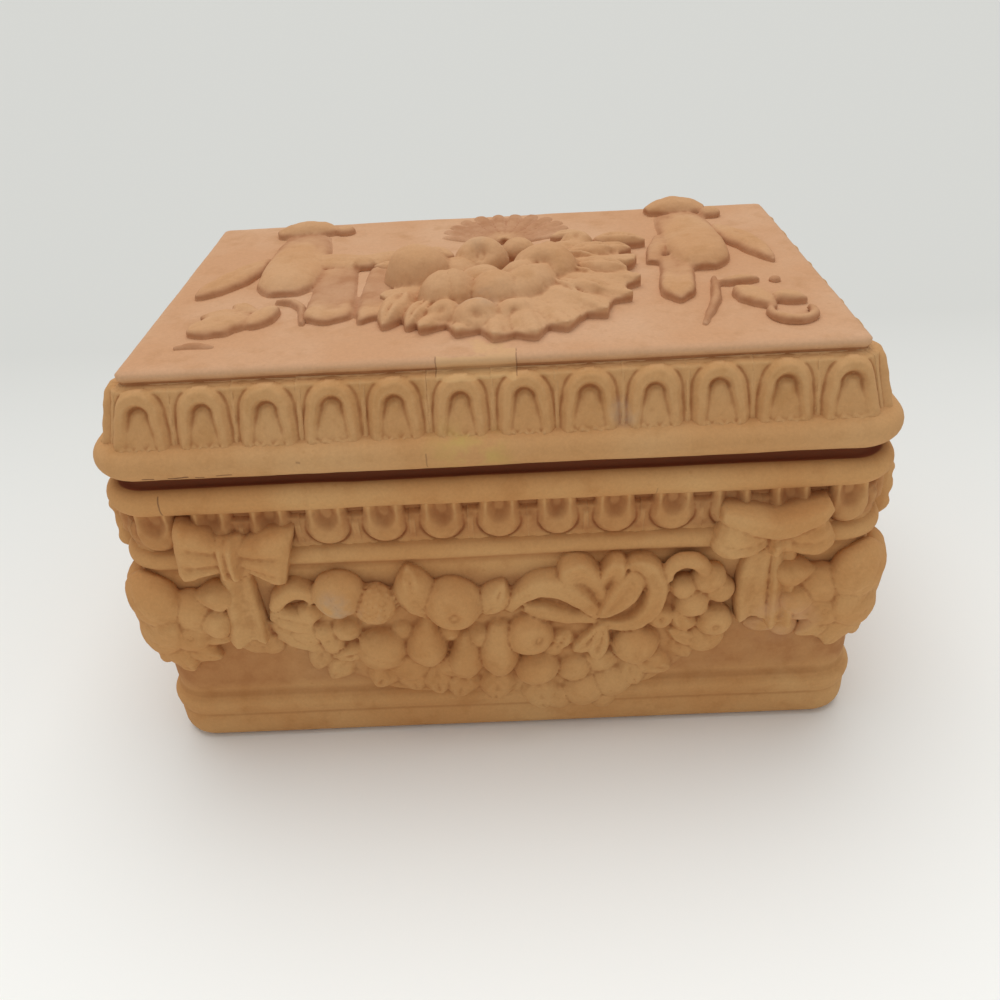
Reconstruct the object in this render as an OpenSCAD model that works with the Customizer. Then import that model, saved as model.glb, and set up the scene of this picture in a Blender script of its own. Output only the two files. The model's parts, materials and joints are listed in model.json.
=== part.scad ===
// Lidded terracotta casket with moulded friezes and applied fruit relief.
// Millimetres, +Z up, origin under the middle of the base. The front faces -Y.
// Two fired pieces, box and lid. The relief is made as a potter makes it: each
// sprig is pressed by itself and laid on the clay, so each is its own solid.

/* [Overall] */
// Width over the rim bead
box_w = 264; // [230:1:300]
// Depth over the rim bead
box_d = 174; // [158:1:210]
// Plan radius of the rim bead at the four corners
corner_r = 17; // [16.5:0.5:20]
// Height of the plinth
plinth_h = 22; // [20:0.5:26]
// Height of the plain field that carries the fruit
field_h = 60; // [54:1:72]
// Height of the tongue frieze under the rim
tongue_band_h = 13.2; // [12:0.1:17]
// Height of the arch frieze round the lid
arch_band_h = 20; // [18:0.5:24]

/* [Mouldings] */
// Radius of the bead round the rim of the box
rim_bead_r = 5.75; // [5:0.25:6.5]
// Radius of the bead round the lid
lid_bead_r = 5; // [4.5:0.25:6]
// Radius of the small bead over the field
fillet_bead_r = 4; // [3.5:0.25:4.5]
// Radius of the bead along the top of the plinth
plinth_bead_r = 4.5; // [4:0.25:5]
// Radius of the rounded foot edge
foot_r = 5; // [3.5:0.5:6]
// Dark gap between the box's bead and the lid's bead
bead_gap = 3.8; // [3:0.1:5]
// Height of the plain ledge round the lid's top
ledge_h = 3.2; // [2.5:0.1:5]
// Height of the shadow groove under the ledge
groove_h = 1.6; // [1:0.1:2.5]

/* [Setbacks from the rim bead] */
// Setback of the field
field_inset = 3.5; // [3:0.25:4.5]
// Setback of the plinth's bead and of the small bead
bead_inset = 1; // [0.5:0.25:2]
// Setback of the foot band
foot_inset = 2; // [1.5:0.25:3]
// Setback of the ground behind the tongues
ground_inset = 6; // [5.5:0.25:7]
// Setback of the faces of the tongues
tongue_inset = 2.6; // [2:0.2:3]
// Setback of the neck in the gap under the lid
neck_inset = 7; // [6.5:0.25:8]
// Setback of the arch ground at the foot of the frieze
arch_foot_inset = 7; // [6.5:0.25:8]
// Setback of the arch ground at its head
arch_head_inset = 12.5; // [11:0.25:13]
// Setback of the top edge of the lid
top_inset = 14; // [13.5:0.25:15]
// Setback of the bottom of the shadow groove
groove_inset = 15; // [14.5:0.25:16]

/* [Friezes] */
// Number of arches along the front and the back of the lid
front_arches = 12; // [8:1:13]
// Number of arches along each end of the lid
end_arches = 8; // [5:1:8]
// Bare ground between two arches
arch_gap = 2.3; // [1.8:0.1:4]
// Clay from the last arch to the edge of the lid's ground
arch_edge = 3.3; // [2:0.1:5]
// Height that an arch stands proud of its ground
arch_proud = 2.4; // [1.8:0.1:3]
// Number of tongues along the front and the back
front_tongues = 13; // [9:1:13]
// Number of tongues along each end
end_tongues = 8; // [5:1:8]
// Bare ground between two tongues
tongue_gap = 2.9; // [2:0.1:4]
// Clay from the last tongue to the edge of the ground
tongue_edge = 1.6; // [1:0.1:3]

/* [Clay] */
// Setback of the inside of the walls
wall_inset = 12; // [11:0.5:13]
// Thickness of the floor
floor_t = 8; // [6:0.5:10]
// Radius of the cove where the walls meet the floor inside
cove_r = 4; // [2:0.5:5]
// Thickness of the lid's top
lid_t = 8; // [6:0.5:10]
// Setback of the hollow inside the lid
lid_hollow_inset = 21; // [20:0.5:23]
// Depth that the lid's locating ring reaches into the box
ring_depth = 6; // [4:0.5:9]
// Clearance round the locating ring
ring_gap = 1.5; // [1:0.25:2]

/* [Relief] */
// Bare clay between a garland and the bows beside it
garland_gap = 0.7; // [0.5:0.1:1.5]
// Distance from the box's corner to the knot of the nearest bow, long sides
bow_from_corner = 41; // [38:0.5:44]
// The same on the short ends
bow_from_corner_short = 37; // [35:0.5:40]
// Width of a bow over both loops
bow_w = 38; // [34:1:40]
// Height that a bow stands proud of the field
bow_proud = 8.6; // [7:0.2:8.8]
// Radius of the large fruit at each corner
corner_fruit_r = 11.5; // [10:0.5:12.5]
// Height that the large corner fruit stands proud of the field
corner_proud = 6.6; // [6:0.2:8]
// Bare clay between a bow's tail and the fruit at the corner
ribbon_gap = 0.8; // [0.5:0.1:1.5]
// Thickness of the slip that a sprig is laid on
slip_t = 0.05; // [0.02:0.01:0.1]
// Number of rays in the open shell on the lid
fan_rays = 7; // [5:1:9]

/* [Hidden] */
$fn = 64;
// Facets round an arc that is long beside the piece it shapes
fine_fn = 180;
half_w = box_w / 2;
half_d = box_d / 2;
field_z = plinth_h;
fillet_z = field_z + field_h + fillet_bead_r;
tongue_z = fillet_z + fillet_bead_r;
rim_z = tongue_z + tongue_band_h + rim_bead_r;
rim_top = rim_z + rim_bead_r;
lid_bead_z = rim_top + bead_gap + lid_bead_r;
seat_z = rim_top + bead_gap / 2;
arch_z = lid_bead_z + lid_bead_r;
groove_z = arch_z + arch_band_h - groove_h;
lid_top = arch_z + arch_band_h + ledge_h;
core_inset = (groove_inset + corner_r) / 2;
top_half_w = half_w - top_inset;
top_half_d = half_d - top_inset;
lap = floor_t / 8;
overrun = floor_t / 4;
clay = [0.73, 0.50, 0.35];
clay_pale = [0.80, 0.58, 0.43];
clay_deep = [0.66, 0.43, 0.29];

// Sizes of an arch and of a tongue, and of the hollow in each
arch_crown_share = 0.43;
arch_root = 1.5 * arch_proud;
niche_h = 0.74 * arch_band_h;
niche_foot_share = 0.27;
niche_crown_share = 0.19;
niche_lift = 0.07 * arch_band_h;
niche_depth = 1.5 * arch_proud;
tongue_h = tongue_band_h + fillet_bead_r / 3;
tongue_foot_share = 0.4;
tongue_proud = ground_inset - tongue_inset;
tongue_root = 1.2 * tongue_proud;
scoop_h = 0.56 * tongue_band_h;
scoop_foot_share = 0.33;
scoop_crown_share = 0.27;
scoop_depth = 0.9 * tongue_proud;

// Ground of a spray: thickness, and reach round a fruit and round a leaf
ground_share = 0.024;
fruit_reach_share = 1.06;
leaf_reach_share = 0.6;

// Parts of a bow as shares of its width: half height of a loop, width of the
// long tail and of the short tail and how far each hangs from the knot's middle
loop_half_share = 0.3;
long_tail_share = 0.36;
long_tail_side_share = 0.01;
short_tail_share = 0.15;
short_tail_side_share = 0.27;
long_pleats = 3;
short_pleats = 2;
// Radius of a pleat as a share of the spacing of the pleats
pleat_share = 0.62;
long_tail_edge_share = pleat_reach(long_tail_share, long_pleats) - long_tail_side_share;
short_tail_edge_share = pleat_reach(short_tail_share, short_pleats) + short_tail_side_share;

// Long garland: kind, place along the half width, place up the field, size and
// length as shares of the field's height, turn in degrees
garland_shares = [
    ["bud",    -0.930,  0.640, 0.105, 0.00,  20],
    ["round",  -0.762,  0.820, 0.140, 0.00,   0],
    ["berry",  -0.600,  0.740, 0.130, 0.00,  10],
    ["round",  -0.880,  0.490, 0.075, 0.00,   0],
    ["round",  -0.763,  0.520, 0.080, 0.00,   0],
    ["bud",    -0.830,  0.400, 0.070, 0.00,  60],
    ["leaf",   -0.720,  0.370, 0.160, 0.28,  30],
    ["dimple", -0.600,  0.370, 0.150, 0.00,   0],
    ["leaf",   -0.410,  0.800, 0.210, 0.38, 104],
    ["dimple", -0.238,  0.707, 0.165, 0.00,   0],
    ["bud",    -0.386,  0.380, 0.130, 0.00,  95],
    ["leaf",   -0.550,  0.150, 0.190, 0.34,  45],
    ["leaf",   -0.360,  0.110, 0.200, 0.34,  95],
    ["pear",   -0.206,  0.270, 0.115, 0.24,  80],
    ["pear",   -0.036,  0.250, 0.120, 0.28,  93],
    ["leaf",   -0.030,  0.710, 0.180, 0.32,  65],
    ["leaf",   -0.075,  0.020, 0.180, 0.32, 100],
    ["dimple",  0.112,  0.455, 0.125, 0.00,   0],
    ["round",   0.143,  0.180, 0.125, 0.00,   0],
    ["leaf",    0.150, -0.060, 0.180, 0.30,  20],
    ["petal",   0.256,  0.720, 0.240, 0.52, 157],
    ["petal",   0.390,  0.840, 0.220, 0.38, 115],
    ["petal",   0.500,  0.840, 0.150, 0.36,  86],
    ["petal",   0.560,  0.740, 0.200, 0.40,  60],
    ["petal",   0.700,  0.720, 0.170, 0.46,  80],
    ["leaf",    0.320,  0.390, 0.200, 0.36,  50],
    ["petal",   0.430,  0.390, 0.180, 0.34, 105],
    ["berry",   0.620,  0.320, 0.125, 0.00,  30],
    ["leaf",    0.690,  0.130, 0.180, 0.34, 130],
    ["round",   0.370, -0.030, 0.118, 0.00,   0],
    ["round",   0.520,  0.010, 0.108, 0.00,   0],
    ["round",   0.330,  0.130, 0.095, 0.00,   0],
    ["curl",    0.835,  0.860, 0.108, 0.00,   0],
    ["round",   0.930,  0.770, 0.090, 0.00,   0],
    ["dimple",  0.735,  0.520, 0.075, 0.00,   0],
    ["round",   0.860,  0.650, 0.085, 0.00,   0],
    ["round",   0.850,  0.505, 0.078, 0.00,   0],
    ["dimple",  0.930,  0.490, 0.090, 0.00,   0],
    ["round",   0.920,  0.340, 0.085, 0.00,   0]
];

// Short garland, in the same shares
end_garland_shares = [
    ["bud",    -0.900,  0.640, 0.105, 0.00,  20],
    ["round",  -0.600,  0.760, 0.140, 0.00,   0],
    ["leaf",   -0.840,  0.400, 0.180, 0.34,  50],
    ["dimple", -0.480,  0.440, 0.150, 0.00,   0],
    ["leaf",   -0.300,  0.140, 0.200, 0.36,  70],
    ["petal",  -0.080,  0.790, 0.230, 0.46, 100],
    ["berry",   0.000,  0.480, 0.150, 0.00,   0],
    ["pear",    0.050,  0.110, 0.120, 0.26,  92],
    ["petal",   0.280,  0.790, 0.220, 0.44,  70],
    ["round",   0.440,  0.450, 0.140, 0.00,   0],
    ["leaf",    0.360,  0.140, 0.200, 0.36, 112],
    ["dimple",  0.620,  0.750, 0.130, 0.00,   0],
    ["bud",     0.780,  0.440, 0.100, 0.00, 300],
    ["round",   0.920,  0.680, 0.090, 0.00,   0]
];

// Edge of the ground under each garland and under the pile, in the same shares
garland_edge_shares = [
    [-0.95, 0.56], [-0.90, 0.30], [-0.68, 0.26], [-0.60, 0.02], [-0.34, -0.04],
    [-0.14, -0.10], [0.06, -0.16], [0.42, -0.12], [0.62, 0.06], [0.74, 0.26],
    [0.96, 0.36], [0.98, 0.82], [0.78, 0.92], [0.55, 0.96], [0.30, 0.96],
    [0.08, 0.82], [-0.25, 0.86], [-0.58, 0.86], [-0.74, 0.90], [-0.90, 0.70]
];
end_edge_shares = [
    [-0.96, 0.66], [-0.92, 0.28], [-0.36, 0.00], [0.10, -0.04], [0.44, 0.00],
    [0.90, 0.30], [0.98, 0.72], [0.66, 0.88], [0.10, 0.96], [-0.66, 0.88]
];
pile_edge_shares = [
    [-0.36, 0.20], [-0.34, -0.60], [-0.20, -0.84], [0.00, -0.90], [0.20, -0.84],
    [0.38, -0.60], [0.48, -0.20], [0.46, 0.32], [0.30, 0.36], [0.00, 0.24]
];

// Fruit pile on the lid: the same, as shares of the top's half width, its half
// depth and, for size and length, its half depth again
pile_shares = [
    ["dimple", -0.225, -0.160, 0.190, 0.00,   0],
    ["dimple", -0.035,  0.030, 0.135, 0.00,   0],
    ["round",  -0.130, -0.380, 0.150, 0.00,   0],
    ["dimple",  0.012, -0.430, 0.140, 0.00,   0],
    ["dimple", -0.170, -0.660, 0.115, 0.00,   0],
    ["round",  -0.070, -0.800, 0.105, 0.00,   0],
    ["round",   0.065, -0.770, 0.110, 0.00,   0],
    ["pear",    0.140, -0.330, 0.145, 0.36, 322],
    ["round",   0.215,  0.030, 0.165, 0.00,   0],
    ["dimple",  0.120,  0.230, 0.100, 0.00,   0],
    ["round",   0.300,  0.230, 0.100, 0.00,   0],
    ["bud",     0.430,  0.300, 0.095, 0.00, 300],
    ["round",  -0.300,  0.140, 0.090, 0.00,   0]
];

// Degrees between the rays of the shell on the lid
fan_step = 13;

// Leaves under the pile: the same, each with its tip away from the middle
bed_shares = [
    ["leaf",   -0.235, -0.620, 0.200, 0.50, 258],
    ["leaf",   -0.090, -0.740, 0.230, 0.50, 265],
    ["leaf",    0.060, -0.720, 0.230, 0.52, 275],
    ["leaf",    0.190, -0.620, 0.230, 0.56, 288],
    ["leaf",    0.300, -0.480, 0.230, 0.56, 300],
    ["leaf",    0.360, -0.300, 0.230, 0.52, 308],
    ["leaf",    0.390, -0.090, 0.220, 0.40, 325],
    ["leaf",    0.400,  0.140, 0.200, 0.40,  12]
];

// Ribbon ends on the lid: place across and up, width as a share of the half
// width, length as a share of the half depth, pleats and slant
left_tail_shares = [
    [0.490, 0.000, 0.120, 0.640, 3, -0.16],
    [0.415, -0.060, 0.100, 0.600, 2, 0.14]
];
right_tail_shares = [
    [0.568, -0.060, 0.085, 0.580, 2, 0.16]
];

// Sprays at the two ends of the lid's top, in the same shares
left_spray_shares = [
    ["leaf",   -0.840,  0.120, 0.170, 0.62,  68],
    ["leaf",   -0.800, -0.560, 0.180, 0.42,  35],
    ["leaf",   -0.675, -0.540, 0.120, 0.26,  62],
    ["leaf",   -0.900, -0.360, 0.110, 0.24,  80],
    ["curl",   -0.850, -0.840, 0.090, 0.00,   0],
    ["bud",    -0.740, -0.330, 0.070, 0.00, 110]
];
right_spray_shares = [
    ["leaf",    0.870,  0.180, 0.190, 0.58, 108],
    ["leaf",    0.740, -0.440, 0.150, 0.46, 118],
    ["curl",    0.840, -0.730, 0.120, 0.00,   0],
    ["bud",     0.900, -0.420, 0.080, 0.00,  70],
    ["leaf",    0.670, -0.620, 0.110, 0.34,  80]
];

// Sides run 0 front, 1 right, 2 back, 3 left
function outward(inset) = corner_r - inset;
function half_out(side) = side % 2 == 0 ? half_d : half_w;
function half_run(side) = side % 2 == 0 ? half_w : half_d;
function arch_count(side) = side % 2 == 0 ? front_arches : end_arches;
function tongue_count(side) = side % 2 == 0 ? front_tongues : end_tongues;

// Room for one arch and for one tongue
function arch_step(side) = 2 * (half_run(side) - arch_foot_inset - arch_edge)
    / arch_count(side);
function tongue_step(side) = 2 * (half_run(side) - ground_inset - tongue_edge)
    / tongue_count(side);
function arch_w(side) = arch_step(side) - arch_gap;
function tongue_w(side) = tongue_step(side) - tongue_gap;

// Reach of a pleated ribbon end to each side of its middle
function pleat_reach(w, count) = w / count * ((count - 1) / 2 + pleat_share);

function knot_from_corner(side) = side % 2 == 0 ? bow_from_corner : bow_from_corner_short;

function is_leaf(kind) = kind == "leaf" || kind == "petal";

// Rounded rectangle in plan, set back from the rim bead
module plan(inset, r) {
    w = half_w - inset - r;
    d = half_d - inset - r;
    square([2 * w, 2 * (d + r)], center = true);
    square([2 * (w + r), 2 * d], center = true);
    for (sx = [-1, 1], sy = [-1, 1])
        translate([sx * w, sy * d])
            circle(r);
}

// Carries a moulding's section right round the plan. In the section x is the
// distance out from the centre of the corner and y is the height.
module carried_round() {
    for (side = [0:3]) {
        run = half_run(side) - corner_r;
        out = half_out(side) - corner_r;
        rotate([0, 0, 90 * side]) {
            translate([0, -out, 0])
                rotate([90, 0, -90])
                    linear_extrude(height = 2 * run, center = true)
                        children();
            translate([run, -out, 0])
                rotate([0, 0, -90])
                    rotate_extrude(angle = 90)
                        children();
        }
    }
}

// A strip of the section between two heights, out to an inset
module strip(inset, z0, z1) {
    x0 = outward(core_inset);
    translate([x0, z0])
        square([outward(inset) - x0, z1 - z0]);
}

module bead(inset, r, z) {
    translate([outward(inset) - r, z])
        circle(r);
}

module body_section() {
    band_top = plinth_h - 2 * plinth_bead_r;
    strip(neck_inset, 0, seat_z);
    strip(foot_inset + foot_r, 0, foot_r);
    bead(foot_inset, foot_r, foot_r);
    strip(foot_inset, foot_r, band_top);
    bead(bead_inset, plinth_bead_r, plinth_h - plinth_bead_r);
    strip(field_inset, band_top, fillet_z);
    bead(bead_inset, fillet_bead_r, fillet_z);
    strip(ground_inset, fillet_z, rim_z);
    bead(0, rim_bead_r, rim_z);
}

module lid_section() {
    x0 = outward(core_inset);
    strip(neck_inset, seat_z, lid_bead_z);
    bead(0, lid_bead_r, lid_bead_z);
    polygon([[x0, lid_bead_z], [outward(arch_foot_inset), lid_bead_z],
        [outward(arch_foot_inset), arch_z],
        [outward(arch_head_inset), groove_z], [x0, groove_z]]);
    strip(groove_inset, groove_z, lid_top);
    polygon([[x0, groove_z + groove_h],
        [outward(top_inset - ledge_h / 4), groove_z + groove_h],
        [outward(top_inset), lid_top], [x0, lid_top]]);
}

// Bell outline standing on y = 0, with a round head
module bell(foot_half, crown_r, height) {
    polygon([[-foot_half, 0], [foot_half, 0],
        [crown_r, height - crown_r], [-crown_r, height - crown_r]]);
    translate([0, height - crown_r])
        circle(crown_r);
}

module row(count, pitch) {
    for (i = [0:count - 1])
        translate([(i - (count - 1) / 2) * pitch, 0])
            children();
}

// Puts a flat drawing on a side: x along it, y up, z out from the inset plane
module on_side(side, inset) {
    rotate([0, 0, 90 * side])
        translate([0, -(half_out(side) - inset), 0])
            rotate([90, 0, 0])
                children();
}

// Hollows whose floor starts at the face and sinks by depth over their height
module hollows(height, depth) {
    rotate([-atan(depth / height), 0, 0])
        linear_extrude(height = 2 * depth)
            children();
}

// The arch frieze of one side stands on the bead and leans back
module on_arch_ground(side) {
    lean = atan((arch_head_inset - arch_foot_inset) / (groove_z - arch_z));
    on_side(side, arch_foot_inset)
        translate([0, arch_z, 0])
            rotate([-lean, 0, 0])
                children();
}

module lid_arches(side) {
    on_arch_ground(side)
        translate([0, -lap, -arch_root])
            linear_extrude(height = arch_proud + arch_root)
                row(arch_count(side), arch_step(side))
                    bell(arch_w(side) / 2, arch_crown_share * arch_w(side),
                        arch_band_h + lap);
}

module lid_niches(side) {
    on_arch_ground(side)
        translate([0, niche_lift, arch_proud - niche_depth / 8])
            hollows(niche_h, niche_depth)
                row(arch_count(side), arch_step(side))
                    bell(niche_foot_share * arch_w(side),
                        niche_crown_share * arch_w(side), niche_h);
}

// Tongues hang from the rim bead with their round ends on the small bead
module on_tongue_ground(side) {
    on_side(side, ground_inset)
        translate([0, rim_z - rim_bead_r, 0])
            children();
}

module body_tongues(side) {
    on_tongue_ground(side)
        translate([0, lap, -tongue_root])
            linear_extrude(height = tongue_proud + tongue_root)
                row(tongue_count(side), tongue_step(side))
                    mirror([0, 1])
                        bell(tongue_foot_share * tongue_w(side), tongue_w(side) / 2,
                            tongue_h + lap);
}

module body_scoops(side) {
    on_tongue_ground(side)
        translate([0, -scoop_h, tongue_proud])
            hollows(scoop_h, scoop_depth)
                row(tongue_count(side), tongue_step(side))
                    translate([0, scoop_h])
                        mirror([0, 1])
                            bell(scoop_foot_share * tongue_w(side),
                                scoop_crown_share * tongue_w(side), scoop_h);
}

// Cove between the floor and the walls inside the box
module cove_section() {
    x = outward(wall_inset) - cove_r;
    difference() {
        translate([x, floor_t - lap])
            square([cove_r + lap, cove_r + lap]);
        translate([x, floor_t + cove_r])
            circle(cove_r);
    }
}

module box_body() {
    color(clay) {
        difference() {
            union() {
                carried_round()
                    body_section();
                linear_extrude(height = seat_z)
                    plan(core_inset - lap, corner_r / 4);
                for (side = [0:3])
                    body_tongues(side);
            }
            translate([0, 0, floor_t])
                linear_extrude(height = seat_z)
                    plan(wall_inset, outward(wall_inset));
            for (side = [0:3])
                body_scoops(side);
        }
        carried_round()
            cove_section();
    }
}

// The lid is hollow below and has a ring that keeps it in place in the box
module lid_shell() {
    ring_inset = wall_inset + ring_gap;
    color(clay_pale)
        difference() {
            union() {
                carried_round()
                    lid_section();
                translate([0, 0, seat_z])
                    linear_extrude(height = lid_top - seat_z)
                        plan(core_inset - lap, corner_r / 4);
                translate([0, 0, seat_z - ring_depth])
                    linear_extrude(height = ring_depth + lap)
                        plan(ring_inset, outward(ring_inset));
                for (side = [0:3])
                    lid_arches(side);
            }
            translate([0, 0, seat_z - ring_depth - overrun])
                linear_extrude(height = lid_top - lid_t - seat_z + ring_depth + overrun)
                    plan(lid_hollow_inset, corner_r / 4);
            for (side = [0:3])
                lid_niches(side);
        }
}

// Motifs lie on z = 0 and stand up along +z. A leaf's tip points along +x.
module round_fruit(r) {
    translate([0, 0, -r / 5])
        sphere(r);
}

module dimple_fruit(r) {
    difference() {
        round_fruit(r);
        translate([0, 0, r * 0.88])
            sphere(r / 4);
    }
}

module bud(r) {
    round_fruit(r);
    translate([r / 4, 0, 0])
        rotate([0, 90, 0])
            cylinder(r1 = r * 0.85, r2 = r / 4, h = r * 1.25);
}

module berry(r) {
    grain_r = r * 0.34;
    translate([0, 0, -r / 8])
        sphere(r * 0.8);
    translate([0, 0, r * 0.6])
        sphere(grain_r);
    for (i = [0:5])
        rotate([0, 0, 60 * i])
            translate([r * 0.52, 0, r * 0.34])
                sphere(grain_r);
}

module pear(r, long) {
    round_fruit(r);
    translate([0, 0, -r / 8])
        rotate([0, 90, 0])
            cylinder(r1 = r * 0.9, r2 = r / 2, h = long);
    translate([long, 0, -r / 8])
        sphere(r * 0.55);
}

// Pointed leaf: two arcs in plan, a round back and a groove for the midrib
module leaf_form(w, long, thick) {
    arc_r = (long * long + w * w) / (4 * w);
    back_r = (w * w / 4 + thick * thick) / (2 * thick) * 1.2;
    intersection() {
        translate([0, arc_r - w / 2, -thick])
            cylinder(r = arc_r, h = 3 * thick, $fn = fine_fn);
        translate([0, w / 2 - arc_r, -thick])
            cylinder(r = arc_r, h = 3 * thick, $fn = fine_fn);
        translate([-long, 0, thick - back_r])
            rotate([0, 90, 0])
                cylinder(r = back_r, h = 2 * long);
    }
}

module leaf(w, long) {
    thick = w * 0.36;
    difference() {
        leaf_form(w, long, thick);
        translate([-long / 3, 0, thick])
            rotate([0, 90, 0])
                cylinder(r = w / 12, h = long);
    }
}

// Thick petal with a dished middle
module petal(w, long) {
    thick = w / 2;
    dish_r = long / 2;
    difference() {
        leaf_form(w, long, thick);
        translate([0, 0, thick + dish_r - w / 7])
            sphere(dish_r);
    }
}

module curl(r) {
    rotate_extrude()
        translate([r * 0.66, r * 0.1])
            circle(r * 0.34);
}

module motif(kind, size, long) {
    if (kind == "round") round_fruit(size);
    if (kind == "dimple") dimple_fruit(size);
    if (kind == "bud") bud(size);
    if (kind == "berry") berry(size);
    if (kind == "curl") curl(size);
    if (kind == "pear") pear(size, long);
    if (kind == "leaf") leaf(size, long);
    if (kind == "petal") petal(size, long);
}

module spray(rows, across, up, scale_size) {
    for (m = rows)
        translate([m[1] * across, m[2] * up, 0])
            rotate([0, 0, m[5]])
                motif(m[0], m[3] * scale_size, m[4] * scale_size);
}

// The thin ground of clay that holds a spray together
module spray_ground(rows, edge, across, up, scale_size) {
    linear_extrude(height = ground_share * scale_size) {
        if (len(edge) > 0)
            polygon([for (e = edge) [e[0] * across, e[1] * up]]);
        for (m = rows)
            translate([m[1] * across, m[2] * up])
                circle((is_leaf(m[0]) ? leaf_reach_share : fruit_reach_share)
                    * m[3] * scale_size);
    }
}

// The straight wall of one side, moulding and all, that sprigs are laid on
module wall_block(side) {
    rotate([0, 0, 90 * side])
        translate([0, corner_r - half_out(side), 0])
            rotate([90, 0, -90])
                linear_extrude(height = 2 * half_run(side), center = true)
                    translate([slip_t, 0]) {
                        body_section();
                        strip(tongue_inset, fillet_z, rim_z);
                        translate([outward(2 * core_inset), 0])
                            square([core_inset + lap, seat_z]);
                    }
}

module laid_on_wall(side) {
    difference() {
        on_side(side, field_inset)
            children();
        wall_block(side);
    }
}

// A garland fills the field between the short tails of the two bows. Its first
// motif is the one at the end.
module garland(side, rows, edge) {
    room = half_run(side) - knot_from_corner(side) - short_tail_edge_share * bow_w
        - garland_gap;
    half = (rows[0][3] * field_h * fruit_reach_share - room) / rows[0][1];
    color(clay)
        laid_on_wall(side)
            translate([0, field_z, 0]) {
                spray(rows, half, field_h, field_h);
                spray_ground(rows, edge, half, field_h, field_h);
            }
}

// Barrel along x: a round back that narrows to share of its girth at the ends
module barrel(r, half_long, share) {
    drop = r * (1 - share);
    arc_r = (half_long * half_long + drop * drop) / (2 * drop);
    rotate([0, 90, 0])
        rotate_extrude()
            intersection() {
                translate([r - arc_r, 0])
                    circle(arc_r, $fn = fine_fn);
                translate([0, -half_long])
                    square([r, 2 * half_long]);
            }
}

// A ribbon end in pleats, hanging along -y from the origin, longer to one side
module pleats(w, long, count, slant) {
    r = w / count * pleat_share;
    for (i = [0:count - 1]) {
        x = (i - (count - 1) / 2) * w / count;
        end = long * (1 - slant * i / count);
        translate([x, 0, r / 4])
            rotate([90, 0, 0]) {
                cylinder(r = r, h = end - r);
                translate([0, 0, end - r])
                    cylinder(r1 = r, r2 = r / 2, h = r);
            }
    }
}

// One loop of a bow, narrow at the knot, crowned, with two creases
module bow_loop(w, half_h, thick) {
    end_r = half_h * 0.45;
    crown_r = w * 1.15;
    difference() {
        intersection() {
            linear_extrude(height = thick) {
                polygon([[0, -half_h * 0.4], [w - end_r, -half_h + end_r / 4],
                    [w - end_r, half_h - end_r / 4], [0, half_h * 0.4]]);
                for (s = [-1, 1])
                    translate([w - end_r, s * (half_h - end_r)])
                        circle(end_r);
                translate([w - 2 * end_r, end_r - half_h])
                    square([2 * end_r, 2 * (half_h - end_r)]);
            }
            translate([w * 0.45, 0, thick - crown_r])
                sphere(crown_r, $fn = fine_fn);
        }
        for (s = [-1, 1])
            translate([0, s * half_h * 0.1, thick * 0.94])
                rotate([0, 90, s * 15])
                    cylinder(r1 = w / 30, r2 = w / 12, h = w * 0.85);
    }
}

// A whole bow with its origin at the knot. hand is the side of the short tail.
module bow(w, proud, hand) {
    half_h = w * loop_half_share;
    loop_t = proud * 0.86;
    knot_r = w * 0.12;
    bow_loop(w / 2, half_h, loop_t);
    mirror([1, 0, 0])
        bow_loop(w / 2, half_h, loop_t);
    translate([0, 0, proud - knot_r])
        rotate([0, 0, 90])
            barrel(knot_r, half_h * 0.62, 0.7);
    linear_extrude(height = proud - knot_r)
        square([knot_r * 1.6, half_h], center = true);
    translate([hand * w * long_tail_side_share, -half_h / 2, 0])
        pleats(w * long_tail_share, w * 0.88, long_pleats, 0.12 * hand);
    translate([hand * w * short_tail_side_share, -half_h / 2, 0])
        pleats(w * short_tail_share, w * 0.62, short_pleats, -0.14 * hand);
}

// end is -1 for the left bow of a side and 1 for the right one
module wall_bow(side, end) {
    color(clay)
        laid_on_wall(side)
            translate([end * (half_run(side) - knot_from_corner(side)), tongue_z, 0])
                bow(bow_w, bow_proud, -end);
}

// Fruit round a corner. Local axes: the corner's own plan centre, with the
// long field towards -Y and the end field towards +X.
module cluster_wall_part(from_corner) {
    r = corner_fruit_r;
    side_r = r * 0.52;
    reach = from_corner - corner_r - bow_w * long_tail_edge_share - ribbon_gap - side_r;
    translate([0, -outward(field_inset), field_z])
        rotate([90, 0, 0]) {
            translate([-reach, field_h * 0.76, 0])
                dimple_fruit(side_r);
            translate([r * 0.1, field_h * 0.55, 0])
                rotate([0, 0, 200])
                    bud(r * 0.5);
            translate([-r * 0.4, field_h * 0.44, 0])
                round_fruit(r * 0.42);
            translate([r * 0.25, field_h * 0.36, 0])
                rotate([0, 0, 262])
                    leaf(r * 0.8, r * 1.9);
        }
}

module cluster_form() {
    r = corner_fruit_r;
    seat = outward(field_inset) - r + corner_proud;
    low = outward(field_inset) - r / 8;
    translate([seat, -seat, field_z + field_h * 0.8])
        sphere(r);
    translate([seat, -seat, field_z + field_h * 0.52])
        sphere(r * 0.85);
    translate([low * 0.75, -low * 0.75, field_z + field_h * 0.34])
        sphere(r * 0.55);
    cluster_wall_part(bow_from_corner);
    mirror([1, 1, 0])
        cluster_wall_part(bow_from_corner_short);
}

module laid_section() {
    translate([slip_t, 0])
        body_section();
}

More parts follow.
